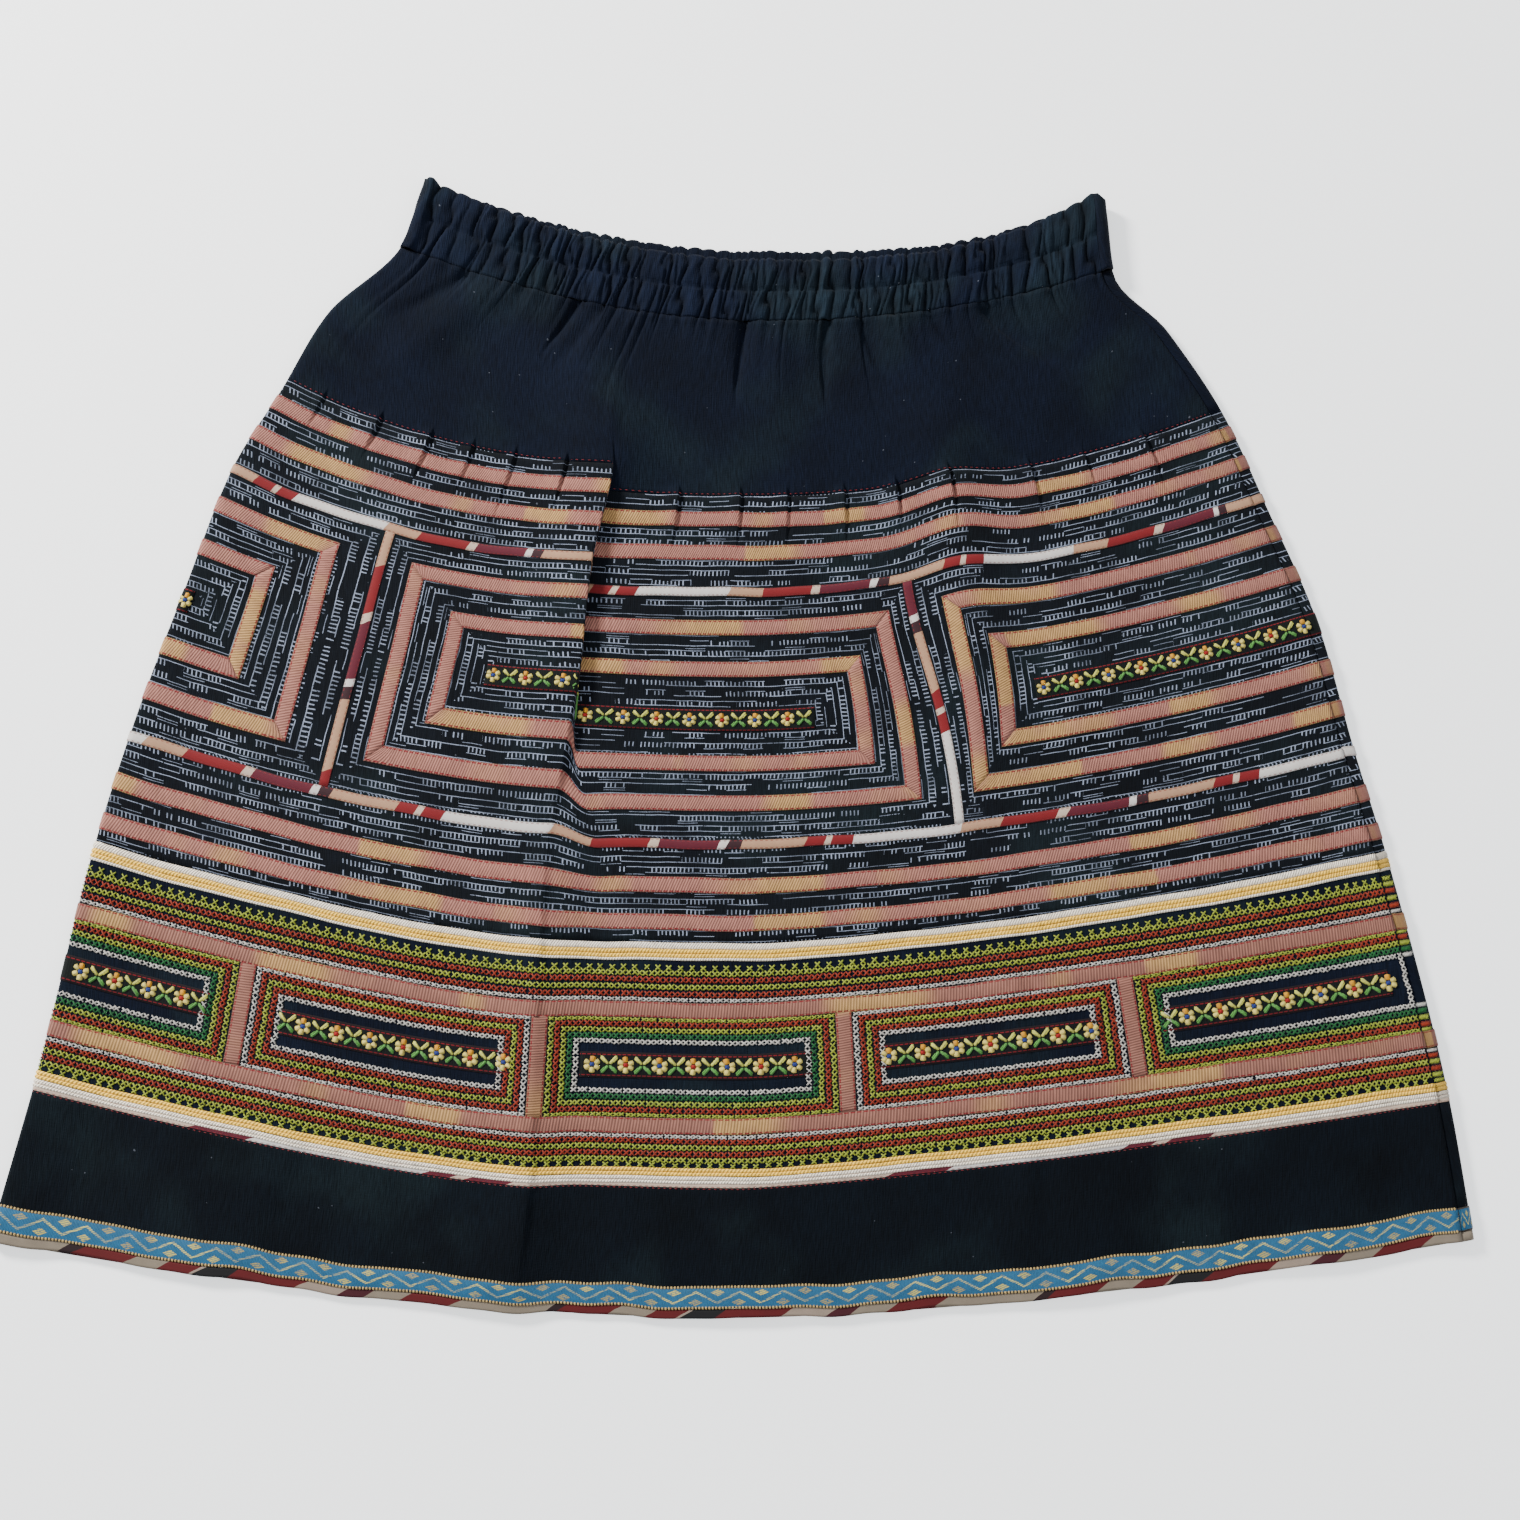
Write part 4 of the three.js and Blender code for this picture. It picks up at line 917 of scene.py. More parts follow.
def batik_cloth():
    """Blue-black cotton with hand-drawn combs of pale lines that follow the rows and the rings."""
    look = Look("batik_cotton", BATIK_BLACK, roughness=0.92, sheen=0.03, specular=0.12)
    x, y = look.cloth()
    weave(look, x, y)
    to_rows, to_sides = look.cloth("rings")
    wobble = (look.noise(x, y, 16.0) - 0.5) * 1.1
    sides = to_sides.least(RING_BAND - 1)
    upright = sides.above(to_rows)
    comb = (to_rows.top(sides) + wobble + COMB_SHIFT) / COMB_PITCH
    along = x * upright.inverse() + y * upright + (look.noise(x, y, 11.0, z=5.0) - 0.5) * 1.6
    number = comb.floor() + to_rows.above(RING_BAND) * 31 + upright * 17
    height = comb.fraction() * COMB_PITCH
    shift = look.dice(number, 0.0, 2.0) * 40
    pieces = {
        LONG_PIECE: ((along + shift) / LONG_PIECE).floor(),
        SHORT_PIECE: ((along - shift) / SHORT_PIECE).floor(),
    }
    step = (along + shift) / TICK_PITCH
    long_tick = look.dice(number, step.floor(), 5.0) * 0.8 + 2.7
    lines = step.fraction().near(0.4, 0.15) * look.dice(number, step.floor(), 7.0).above(0.12)
    lines = lines * height.above(0.75) * height.below(long_tick)
    lines = lines * look.dice(number, pieces[SHORT_PIECE], 8.0).above(0.3)
    pen = look.noise(x, y, 3.0, z=9.0) * 0.16
    for place, half_width, piece, seed, gaps in COMB_LINES:
        drawn = height.near(place, pen + half_width)
        lines = lines.top(drawn * look.dice(number, pieces[piece], seed).above(gaps))
    faint = look.noise(x, y, 18, z=11.0).soft(0.32, 0.62) * 0.6 + 0.4
    broken = look.noise(x, y, 1.0, z=13.0).soft(0.28, 0.42)
    look.paint(BATIK_LINE, lines * faint * broken)
    return look.done(0.16)


RIBBON = 8
RIB_PITCH = 1.25
RIBBON_STITCH = 2.7


def sewn_ribbon(name, colour, tan_share, slant):
    """Ribbed ribbon that fades to tan in places, stitched down along both edges."""
    look = Look(name, colour, roughness=0.75, sheen=0.08, specular=0.2)
    along, across = look.cloth()
    ragged = (look.noise(along * 4, across, 3.0, z=6.0) - 0.5) * 0.03
    faded = look.noise(along, along * 0, 62, detail=1.5) + ragged
    ending = look.noise(along, along * 0, 90, z=12.0).soft(0.42, 0.58) * 0.13 + 0.02
    look.paint(TAN, ((faded - (1 - tan_share)) / ending + 0.5).soft(0.0, 1.0) * 0.9)
    look.blotch(colour, along, across, size=17, low=0.5, high=0.7, strength=0.4, z=30.0)
    look.mottle(along, across, size=9, depth=0.4, least=0.8, detail=3.0)
    lean = look.noise(along, across, 120, z=4.0) * 2 * slant
    rib = (along + across * lean).swing(RIB_PITCH)
    # Painted shade: darker in the grooves between the ribs, where the bump below is low
    look.shade(rib * 0.8 + 0.5)
    look.mottle(along, across / 6, size=1.5, depth=0.7, least=0.65, z=7.0)
    edge = across.size()
    seam = RIBBON / 2 - 0.75
    look.paint(PINK_THREAD, edge.near(seam, 0.28) * (along / RIBBON_STITCH).fraction().below(0.68))
    # Painted shade along the ribbon's edges, outside its stitching
    look.shade(edge.soft(seam + 0.2, RIBBON / 2) * -0.6 + 1)
    look.raise_by(rib * 0.8 - edge.near(seam, 0.45) * 0.9)
    return look.done(0.3)


# Printed patches: length and colour of each
STRIP_STOPS = [
    (50, "white"), (18, "tan"), (27, "red"), (4, "cream"), (28, "burgundy"), (4, "white"), (6, "dark"),
    (30, "tan"), (9, "red"), (3, "cream"), (10, "red"),
]
EDGING_STOPS = [
    (17, "beige"), (24, "red"), (46, "beige"), (6, "dark"), (24, "red"), (17, "beige"), (15, "red"),
    (2, "cream"), (16, "black"), (33, "red"), (20, "cream"), (12, "burgundy"),
]
PEEK_STOPS = [
    (150, "cream"), (24, "burgundy"), (70, "white"), (12, "burgundy"), (6, "cream"), (18, "burgundy"),
]
PRINT_STITCH = 2.4


def print_cloth(name, stops, slant, shift, half_width):
    """Printed cotton cut into narrow strips, so that its patches show as slanted blocks."""
    look = Look(name, PRINT["red"], roughness=0.8, sheen=0.1)
    along, across = look.cloth()
    wander = (look.noise(along, across, 12) - 0.5) * 4
    repeat = sum(width for width, _ in stops)
    look.patches(((along + across * slant + wander + shift) / repeat).fraction(), stops)
    look.mottle(along, across, size=6, depth=0.3, least=0.83, detail=3.0)
    edge = across.size()
    seam = half_width - 0.7
    look.paint(RED_THREAD, edge.near(seam, 0.17) * (along / PRINT_STITCH).fraction().below(0.5) * 0.75)
    # Painted shade along the strip's edges, outside its stitching
    look.shade(edge.soft(seam, half_width) * -0.5 + 1)
    look.raise_by(along.swing(0.5) * 0.3 - edge.near(seam, 0.35) * 0.8)
    return look.done(0.16)


def plied(name, colour, pitch):
    """Cord with slanting plies."""
    look = Look(name, colour, roughness=0.75, sheen=0.1, dim=1.0)
    along, across = look.cloth()
    ply = (along + across * 0.6).swing(pitch)
    # Painted shade: darker in the grooves between the plies, where the bump is low
    look.shade(ply * 0.8 + 0.45)
    look.mottle(along, across, size=2.4, depth=0.9, least=0.5, detail=3.0)
    look.raise_by(ply)
    return look.done(0.45)


def floss(name, colour):
    """Embroidery thread, with small differences in tone from stitch to stitch."""
    look = Look(name, colour, roughness=0.65, sheen=0.08, specular=0.25)
    along, across = look.cloth()
    look.mottle(along, across * 0.2, size=6.0, depth=1.3, least=0.4)
    look.raise_by((across + along * 0.25).swing(0.4))
    return look.done(0.1)


def flower_ribbon():
    """Woven black ribbon with a dark red stitch along both edges."""
    look = Look("flower_ribbon", RIBBON_BLACK, roughness=0.85, sheen=0.03, specular=0.15)
    along, across = look.cloth()
    edge = across.size()
    seam = edge.near(5.0, 0.22) * (along / 2.1).fraction().below(0.72)
    look.paint(RIBBON_EDGE, edge.above(4.4) * 0.8)
    look.paint(RED_THREAD, seam)
    look.paint(RIBBON_GREEN, along.swing(1.1).above(0.86) * edge.below(4.2) * 0.5)
    look.mottle(along, across, size=4.0, depth=0.4, least=0.8)
    look.raise_by(across.swing(0.6) + seam * 1.5)
    return look.done(0.14)


ZIGZAG_PITCH = 16.8
ZIGZAG_SWING = 2.5
DIAMOND_AT = 2.3
DIAMOND_SIZE = 1.75


def blue_ribbon():
    """Blue woven ribbon with a pale gold zigzag and small diamonds in its bays."""
    look = Look("blue_ribbon", BLUE, roughness=0.55, sheen=0.05, specular=0.3)
    along, across = look.cloth()
    look.mottle(along * 5, across, size=1.6, depth=0.9, least=0.5)
    look.mottle(along, across, size=7.0, depth=0.7, least=0.65, detail=3.0)
    swing = along.swing(ZIGZAG_PITCH)
    ragged = (look.noise(along, across, 2.0) - 0.5) * 0.7
    line = (across - (swing * 2 - 1) * ZIGZAG_SWING + ragged).size()
    bright = look.noise(along, across, 24, z=2.0).soft(0.46, 0.6)
    dotted = (along * 0.4 + across).swing(0.9).above(0.3)
    dotted = dotted * look.noise(along, across, 1.1, z=4.0).soft(0.3, 0.5)
    bays = [(swing.inverse(), across + DIAMOND_AT), (swing, across - DIAMOND_AT)]
    low, high = [
        (near * ZIGZAG_PITCH / 2 * 0.62 + away.size() * 1.1).below(DIAMOND_SIZE) for near, away in bays
    ]
    look.paint(PALE_GOLD, line.below(0.55) * dotted * (bright * 0.5 + 0.5))
    look.paint(GOLD, low.top(high) * dotted * (bright * 0.4 + 0.6))
    look.paint(PALE_SHINE, line.below(0.5).top(low).top(high) * dotted * bright * 0.7)
    look.paint(BEAD_BED, across.size().above(4.4))
    look.raise_by(line.below(0.6).top(low).top(high) + along.swing(0.55) * 0.4)
    return look.done(0.2)


LOOKS = dict(
    cloth=black_cloth("black_cotton", BLACK),
    hem=black_cloth("hem_black_cotton", HEM_BLACK),
    # Black cotton with painted light on the gathers' ridges and painted shade in their valleys
    worn=black_cloth("worn_black_cotton", BLACK, worn=True),
    batik=batik_cloth(),
    pink=sewn_ribbon("pink_ribbon", PINK, tan_share=0.46, slant=0.35),
    mauve=sewn_ribbon("mauve_ribbon", MAUVE, tan_share=0.45, slant=0.1),
    strip=print_cloth("print_strip", STRIP_STOPS, slant=0.4, shift=60, half_width=2.5),
    edging=print_cloth("print_edging", EDGING_STOPS, slant=1.6, shift=20, half_width=40),
    peek=print_cloth("print_peek", PEEK_STOPS, slant=2.0, shift=90, half_width=2.0),
    cord_white=plied("cord_white", CORD_WHITE, 1.2),
    cord_yellow=plied("cord_yellow", CORD_YELLOW, 1.5),
    red_thread=floss("thread_dark_red", RED_THREAD),
    bead=floss("bead_gold", BEAD_GOLD),
    flower_ribbon=flower_ribbon(),
    blue=blue_ribbon(),
)
LOOKS.update((name, floss(f"floss_{name}", colour)) for name, colour in FLOSS.items())

# Layout of the trims, in millimetres below the waist's edge
ROWS = dict(
    strip_upper=177.5, outer_top=196, inner_top=217.5, flower=243.5, inner_low=265.5, outer_low=285.5,
    strip_lower=306, band_ribbon_upper=388, frame_flower=415, band_ribbon_lower=443.5,
)
# Middles of the upright ribbons: place across at the upper strip and at the lower strip
UPRIGHTS = dict(
    left_inner=(-0.88, -0.874),
    left_outer=(-0.783, -0.772),
    divider_left=(-0.686, -0.682),
    middle_outer_left=(-0.617, -0.615),
    middle_inner_left=(-0.526, -0.532),
    middle_inner_right=(0.184, 0.209),
    middle_outer_right=(0.25, 0.283),
    divider_right=(0.306, 0.353),
    right_outer=(0.378, 0.394),
    right_inner=(0.45, 0.442),
)
# Rings: left and right upright, upper and lower row
RINGS = [
    ("ring_left_outer", None, "left_outer", "outer_top", "outer_low"),
    ("ring_left_inner", None, "left_inner", "inner_top", "inner_low"),
    ("ring_middle_outer", "middle_outer_left", "middle_outer_right", "outer_top", "outer_low"),
    ("ring_middle_inner", "middle_inner_left", "middle_inner_right", "inner_top", "inner_low"),
    ("ring_right_outer", "right_outer", None, "outer_top", "outer_low"),
    ("ring_right_inner", "right_inner", None, "inner_top", "inner_low"),
]
RING_MIDDLE = -0.17
RING_SQUEEZE = 0.85
FLOWER_BANDS = [("left", -1, -0.978), ("middle", -0.46, 0.115), ("right", 0.5, 1)]
BAND_DIVIDERS = (-0.736, -0.298, 0.152, 0.572)
# Each band's ends and how far in its first flower lies
BAND_FLOWERS = [
    (-1, -0.779, 9.5), (-0.678, -0.336, 11.5), (-0.237, 0.103, 6), (0.197, 0.532, 6), (0.615, 0.965, 12.5),
]
LAST_FLOWER_END = 0.977


def upright_at(name, down):
    """Where an upright ribbon's middle lies across, at a length down."""
    top, low = ROWS["strip_upper"], ROWS["strip_lower"]
    return lerp(*UPRIGHTS[name], smooth((down - top) / (low - top)))


def ring_coordinates(across, down):
    """Distances that grow outwards from the rings' middle: over the rows, and over the upright sides."""
    centre = (ROWS["outer_top"] + ROWS["outer_low"]) / 2
    outer = centre - ROWS["outer_top"]
    inner = centre - ROWS["inner_top"]
    names = list(UPRIGHTS)
    values = [RING_BAND if "divider" in name else inner if "inner" in name else outer for name in names]
    places = [upright_at(name, down) for name in names]
    sides = np.zeros(np.broadcast(across, down).shape)
    for k, name in enumerate(names[:-1]):
        along = (across - places[k]) / (places[k + 1] - places[k])
        inside = (along >= 0) & (along < 1) & (name != "middle_inner_left")
        sides = np.where(inside, lerp(values[k], values[k + 1], along), sides)
    middles = {
        "left_inner": across < places[0],
        "middle_inner_left": (across >= places[4]) & (across < RING_MIDDLE),
        "middle_inner_right": (across >= RING_MIDDLE) & (across < places[5]),
        "right_inner": across >= places[-1],
    }
    for name, inside in middles.items():
        away = np.abs(across - upright_at(name, down)) * NOMINAL_HALF * RING_SQUEEZE
        sides = np.where(inside, inner - away, sides)
    return np.stack([np.abs(down - centre) + 0 * sides, np.maximum(sides, 0)], -1)


# Panels: part, start, end on the front and on the back, how far apart its rows lie there, slot, look
# and whether it has fine creases
PANEL_ROWS = [
    ("yoke", WAIST_SEAM, YOKE_SEAM, YOKE_SEAM, 2.5, 6, "black_cloth", "cloth", True),
    ("batik", YOKE_SEAM, BATIK_END, BATIK_END, 3.0, 6, "batik_cloth", "batik", True),
    ("embroidery", BATIK_END, STITCHED_END, STITCHED_END, 4.0, 6, "stitched_cloth", "cloth", False),
    ("hem_band", STITCHED_END, EDGING_START, RIBBON_BACK_START, 3.5, 6, "black_cloth", "hem", False),
    ("hem_edging", EDGING_START, HEM_EDGE, HEM_EDGE, 1.1, 2.2, "print_cloth", "edging", False),
]
CLOTH = 0.9
BACK_CLOTH = 0.7
ROW_GAP = 0.1
BACK_RIBBON_ROWS = 4


def cloth_map(grid, downs):
    return np.stack([grid * section_at(downs)["half"], downs + 0 * grid], -1) * MM


def lay_cloth(soup, side, start, end, count, fine, rings=False):
    downs = np.linspace(start + ROW_GAP, end - ROW_GAP, count)[:, None]
    grid = side.place(side.samples(*side.ends, side.step, fine)[None, :], downs)
    maps = {"cloth": cloth_map(grid, downs)}
    if rings:
        maps["rings"] = ring_coordinates(grid, downs + 0 * grid) * MM
    add_shell(soup, side.surface(grid, downs), CLOTH if side is FRONT else BACK_CLOTH, maps)


for side in SIDES:
    for part, start, front_end, back_end, front_step, back_step, slot, look, fine in PANEL_ROWS:
        end, step = (front_end, front_step) if side is FRONT else (back_end, back_step)
        name = f"{part}_{side.name}"
        count = max(3, int((end - start) / step / COARSE) + 1)
        soup = Soup()
        lay_cloth(soup, side, start, end, count, fine, rings=part == "batik")
        finish_piece(soup, f"{name}_cloth", look, [name])

WAISTBAND_STEP = 0.5
WAISTBAND_HALF = 178
WAISTBAND_BACK_COARSER = 1.7
WAISTBAND_ROWS = 27
WAISTBAND_WALL = 1.0


def waistband():
    """Two gathered channels: a front shell, and a thicker back whose outer face lies flat."""
    downs = np.linspace(0, WAIST_SEAM - ROW_GAP, int(WAISTBAND_ROWS / math.sqrt(COARSE)))[:, None]
    step = WAISTBAND_STEP * NOMINAL_HALF / WAISTBAND_HALF
    grid = front_place(front_samples(*FRONT.ends, step, fine=False)[None, :], downs, BAND_RADIUS)
    ridge = gather_ridge(waist_place(grid, section_at(downs)), downs)
    # The ridge value goes to the map that paints the ridges lighter and the valleys darker: painted light and
    # shade
    maps = {"cloth": cloth_map(grid, downs), "wear": np.stack([ridge, 0 * ridge], -1)}
    soup = Soup()
    add_shell(soup, waist_front(grid, downs), WAISTBAND_WALL, maps)
    finish_piece(
        soup, "waistband_front_cloth", "worn", ["waistband_front"])
    samples = back_samples(*BACK.ends, step * WAISTBAND_BACK_COARSER)
    grid = back_place(samples[None, :], downs, BAND_RADIUS)
    soup = Soup()
    outer, inner = (waist_back(grid, downs, face) for face in (False, True))
    add_shell(soup, outer, inner, {"cloth": cloth_map(grid, downs)})
    finish_piece(
        soup, "waistband_back_cloth", "cloth", ["waistband_back"])


waistband()

# Strips sewn on a panel
LANES = np.array([-1, -0.84, 0, 0.84, 1])
EDGE_ROUNDING = 0.55
MITRE = 9.0
STRIP_WALL = 0.9


def lay_strip(soup, side, grid, downs, lanes, along, offset, share, lift, thickness, crown=0.0):
    """A strip under a grid of places, with rounded edges and a crown along its middle."""
    rounded = thickness * (1 - EDGE_ROUNDING * (np.abs(lanes) > 0.99))
    points = side.surface(grid, downs, lift + rounded + crown * (1 - lanes**2))
    maps = {"cloth": np.stack(np.broadcast_arrays(along, offset), -1) * MM}
    add_shell(soup, points, thickness * STRIP_WALL, maps, share)


def row_leg(soup, side, down, width, start, end, turns=(0, 0), lift=0.1, thickness=0.42, crown=0.0,
            wander=0.0, shift=0.0, share=(0.0, 1.0), fine=True, lanes=LANES):
    """A strip along a row from start to end. A turn of 1 or -1 cuts that end as a mitre."""
    u = side.samples(start, end, side.step, fine)[None, :]
    lanes = lanes[:, None]
    offset = lanes * width / 2
    downs = down + offset + sway(u, wander, shift)
    grid = side.place(u, downs)
    for turn, place in zip(turns, (start, end)):
        grid = grid + turn * clamp01(1 - np.abs(u - place) * NOMINAL_HALF / MITRE) * offset / NOMINAL_HALF
    lay_strip(soup, side, grid, downs, lanes, u * NOMINAL_HALF + shift, offset, share, lift, thickness, crown)


def sway(u, wander, shift):
    """How far a hand-sewn row wanders up and down along its length."""
    return wander * (np.sin(u * 19 + shift) + 0.6 * np.sin(u * 47 + shift * 2))


def upright_leg(soup, side, name, top, low, width, turns=(0, 0), lift=0.1, thickness=0.42, shift=0.0,
                share=(0.0, 1.0)):
    """A strip down an upright, or down one place across, from the row top to the row low."""
    count = max(4, int((low - top) / side.upright_step / COARSE))
    downs = np.linspace(top, low, count)[:, None]
    lanes = (LANES * side.sign)[None, :]
    offset = lanes * width / 2
    fades = [clamp01(1 - np.abs(downs - place) / MITRE) for place in (top, low)]
    downs = downs + (turns[0] * fades[0] + turns[1] * fades[1]) * offset
    middle = upright_at(name, downs) if name in UPRIGHTS else name
    grid = middle + offset / section_at(downs)["half"]
    lay_strip(soup, side, grid, downs, lanes, downs + shift, offset, share, lift, thickness)


def ring(soup, side, left, right, top_row, low_row, shift):
    """A mitred ribbon ring, open where it runs round an edge of the skirt."""
    top, low = ROWS[top_row], ROWS[low_row]
    quarters = [(k / 4, (k + 1) / 4) for k in range(4)]
    for place, (down, inside) in enumerate(((top, 1), (low, -1))):
        ends = [upright_at(name, down) if name else limit for name, limit in ((left, -1), (right, 1))]
        turns = [inside if left else 0, -inside if right else 0]
        if side is BACK:
            ends = [BACK_END if right is None else ends[1], ends[0]]
            turns = turns[::-1]
        row_leg(soup, side, down, RIBBON, *ends, turns, shift=shift + 500 * place, share=quarters[place])
    for place, (name, inside) in enumerate(((left, 1), (right, -1)), start=2):
        if name:
            upright_leg(soup, side, name, top, low, RIBBON, (inside, -inside), shift=shift + 90 * place,
                        share=quarters[place])


def trim(name, panel, side, slot, look, nodes, build, *values, **settings):
    """One piece that build makes on a panel. On the front, where the solids have it, it replaces nodes."""
    soup = Soup()
    build(soup, side, *values, **settings)
    shown = nodes if side is FRONT else []
    finish_piece(soup, f"{name}_{side.name}", look, shown, f"{panel}_{side.name}")


# Strips along whole rows: name, panel, slot, look, down, width, lift, thickness, wander and shift
STRIP = 4.8
HEM_RIBBON = 10.2
ROW_STRIPS = [
    ("pink_row_1", "batik", "pink_ribbon", "pink", 139.5, RIBBON, 0.1, 0.42, 0.25, 170),
    ("pink_row_2", "batik", "pink_ribbon", "pink", 157, RIBBON, 0.1, 0.42, 0.25, 340),
    ("pink_row_3", "batik", "pink_ribbon", "pink", 326.5, RIBBON, 0.1, 0.42, 0.25, 510),
    ("pink_row_4", "batik", "pink_ribbon", "pink", 345, RIBBON, 0.1, 0.42, 0.25, 680),
    ("print_strip_upper", "batik", "print_cloth", "strip", 177.5, STRIP, 0.1, 0.5, 0.3, 0),
    ("print_strip_lower", "batik", "print_cloth", "strip", 306, STRIP, 0.1, 0.5, 0.3, 78),
    ("band_ribbon_upper", "embroidery", "pink_ribbon", "mauve", 388, RIBBON, 0.1, 0.42, 0.2, 40),
    ("band_ribbon_lower", "embroidery", "pink_ribbon", "mauve", 443.5, RIBBON, 0.1, 0.42, 0.2, 350),
    ("cord_print", "hem_band", "print_cloth", "peek", 470.7, 3.4, 0, 0.2, 0, 0),
    ("woven_hem_ribbon", "hem_band", "blue_ribbon", "blue", 523.4, HEM_RIBBON, 0.05, 0.4, 0.25, 6),
]
STRIP_NODES = dict(cord_print=[], woven_hem_ribbon=["hem_ribbon_front"])
# Uprights between two rows: room left at each row's middle
DIVIDER_ROOM = 2
BAND_DIVIDER_ROOM = 3.5

for side in SIDES:
    for name, part, slot, look, down, width, lift, thickness, wander, shift in ROW_STRIPS:
        shift += 0 if part == "hem_band" else side.shift
        trim(name, part, side, slot, look, STRIP_NODES.get(name, [name]), row_leg, down, width, *side.ends,
             lift=lift, thickness=thickness, wander=wander, shift=shift, fine=part == "batik")
    for number, (name, *rest) in enumerate(RINGS):
        trim(name, "batik", side, "pink_ribbon", "pink", [name], ring, *rest, side.shift + 90 + number * 230)
    for number, name in enumerate(("divider_left", "divider_right")):
        trim(f"print_{name}", "batik", side, "print_cloth", "strip", [f"print_{name}"], upright_leg, name,
             ROWS["strip_upper"] + DIVIDER_ROOM, ROWS["strip_lower"] - DIVIDER_ROOM, STRIP,
             shift=side.shift + 60 * number, thickness=0.36)
    for number, place in enumerate(BAND_DIVIDERS):
        name = f"band_divider_{number + 1}"
        trim(name, "embroidery", side, "pink_ribbon", "mauve", [name], upright_leg, place,
             ROWS["band_ribbon_upper"] + BAND_DIVIDER_ROOM, ROWS["band_ribbon_lower"] - BAND_DIVIDER_ROOM,
             RIBBON, shift=side.shift + 77 * number, thickness=0.34)

# Cords: middle and width of each strand, by colour
CORDS = dict(
    cord_upper=dict(white=[(356.6, 3.2), (363.1, 1.4)], yellow=[(359.3, 2.1), (361.4, 2.1)]),
    cord_lower=dict(white=[(468.2, 1.9), (470.0, 1.5)], yellow=[(464.3, 1.9), (466.2, 1.9)]),
)
CORD_LANES = np.sin(np.linspace(-math.pi / 2, math.pi / 2, 7))


def cords(soup, side, strands):
    for place, (down, width) in enumerate(strands):
        share = (place / len(strands), (place + 1) / len(strands))
        row_leg(soup, side, down, width, *side.ends, lift=0, thickness=0.15, crown=side.cord, wander=0.2,
                shift=place * 31, share=share, fine=False, lanes=CORD_LANES)


for side in SIDES:
    for name, colours in CORDS.items():
        for colour, strands in colours.items():
            nodes = [name] if colour == "white" else []
            trim(f"{name}_{colour}", "embroidery", side, "cord", f"cord_{colour}", nodes, cords, strands)

# The cloth under the hem's ribbon on the back, where the solids have the ribbon alone
hem_under = Soup()
lay_cloth(hem_under, BACK, RIBBON_BACK_START, EDGING_START, BACK_RIBBON_ROWS, fine=False)
finish_piece(
    hem_under, "hem_ribbon_back_cloth", "hem", ["hem_ribbon_back"], "hem_band_back")

# Threads: small spindles between two places on a side, with rings of four corners, by how many faces
SPINDLE_RINGS = {8: [0.5], 16: [0.1, 0.9], 24: [0.14, 0.5, 0.86]}
SPINDLE_CORNERS = [(0.5, 0.1), (0, 1), (-0.5, 0.1), (0, -0.15)]
BAKE_WIDTH = 760
BAKE_LENGTH = 600


def spindle_faces(rings):
    """Triangles of one spindle, with a point at each end."""
    faces = []
    last = 4 * rings - 3
    for k in range(4):
        n = (k + 1) % 4
        faces.append((0, 1 + n, 1 + k))
        for a in range(1, last, 4):
            faces += [(a + k, a + n, a + 4 + n), (a + k, a + 4 + n, a + 4 + k)]
        faces.append((last + k, last + n, last + 4))
    return np.array(faces)


def spindles(soup, side, start, end, width, height, lift, faces=16):
    """Stitches from start to end, each an array of places across and down with one row for a stitch."""
    first = side.surface(*start.T, lift)
    reach = side.surface(*end.T, lift) - first
    up = unit(side.surface(*start.T, lift + 1.0) - first)
    aside = unit(np.cross(reach, up))
    length = np.linalg.norm(reach, axis=1, keepdims=True)
    count = len(first)
    width = np.broadcast_to(width, count)[:, None]
    height = np.broadcast_to(height, count)[:, None]
    spots = [(0, 0, 0)]
    spots += [(along, *corner) for along in SPINDLE_RINGS[faces] for corner in SPINDLE_CORNERS]
    spots.append((1, 0, 0))
    points, uv = [], []
    for along, sideways, high in spots:
        points.append(first + reach * along + aside * width * sideways + up * height * high)
        uv.append(np.concatenate([length * along, width * sideways + height * high], 1))
    points = np.stack(points, 1)
    uv = np.stack(uv, 1) + scatter(np.arange(count), 3)[:, None, None] * 97
    template = spindle_faces(len(SPINDLE_RINGS[faces]))
    numbers = np.arange(count)[:, None, None] * len(spots) + template[None]
    bake = clamp01(0.5 + points[..., :2] / (BAKE_WIDTH, BAKE_LENGTH))
    soup.add(points, numbers.reshape(-1, 3), {"cloth": uv * MM, "OFBake": bake})


# Rows of cross-stitches: down, colour, height, and 1 for every stitch or 2 for every second one
STITCH = 2.8
STITCH_ROWS = [
    (367.3, "yellow_green", 2.7, 2),
    (370.0, "yellow_green", 2.8, 1),
    (373.2, "brick", 3.0, 1),
    (376.7, "yellow_green", 2.8, 1),
    (380.2, "brick", 3.0, 1),
    (382.9, "white", 1.8, 1),
    (448.5, "white", 1.8, 1),
    (450.8, "brick", 2.8, 1),
    (453.7, "yellow_green", 2.8, 1),
    (456.7, "brick", 2.9, 1),
    (459.6, "yellow_green", 2.8, 1),
    (462.1, "yellow_green", 2.4, 2),
]
FRAME_COLOURS = [
    ("yellow_green", "brick", "yellow_green", "green", "white"),
    ("white", "brick", "yellow_green", "brick", "white"),
]
FRAME_TOP = 391.9
FRAME_LOW = 439.6
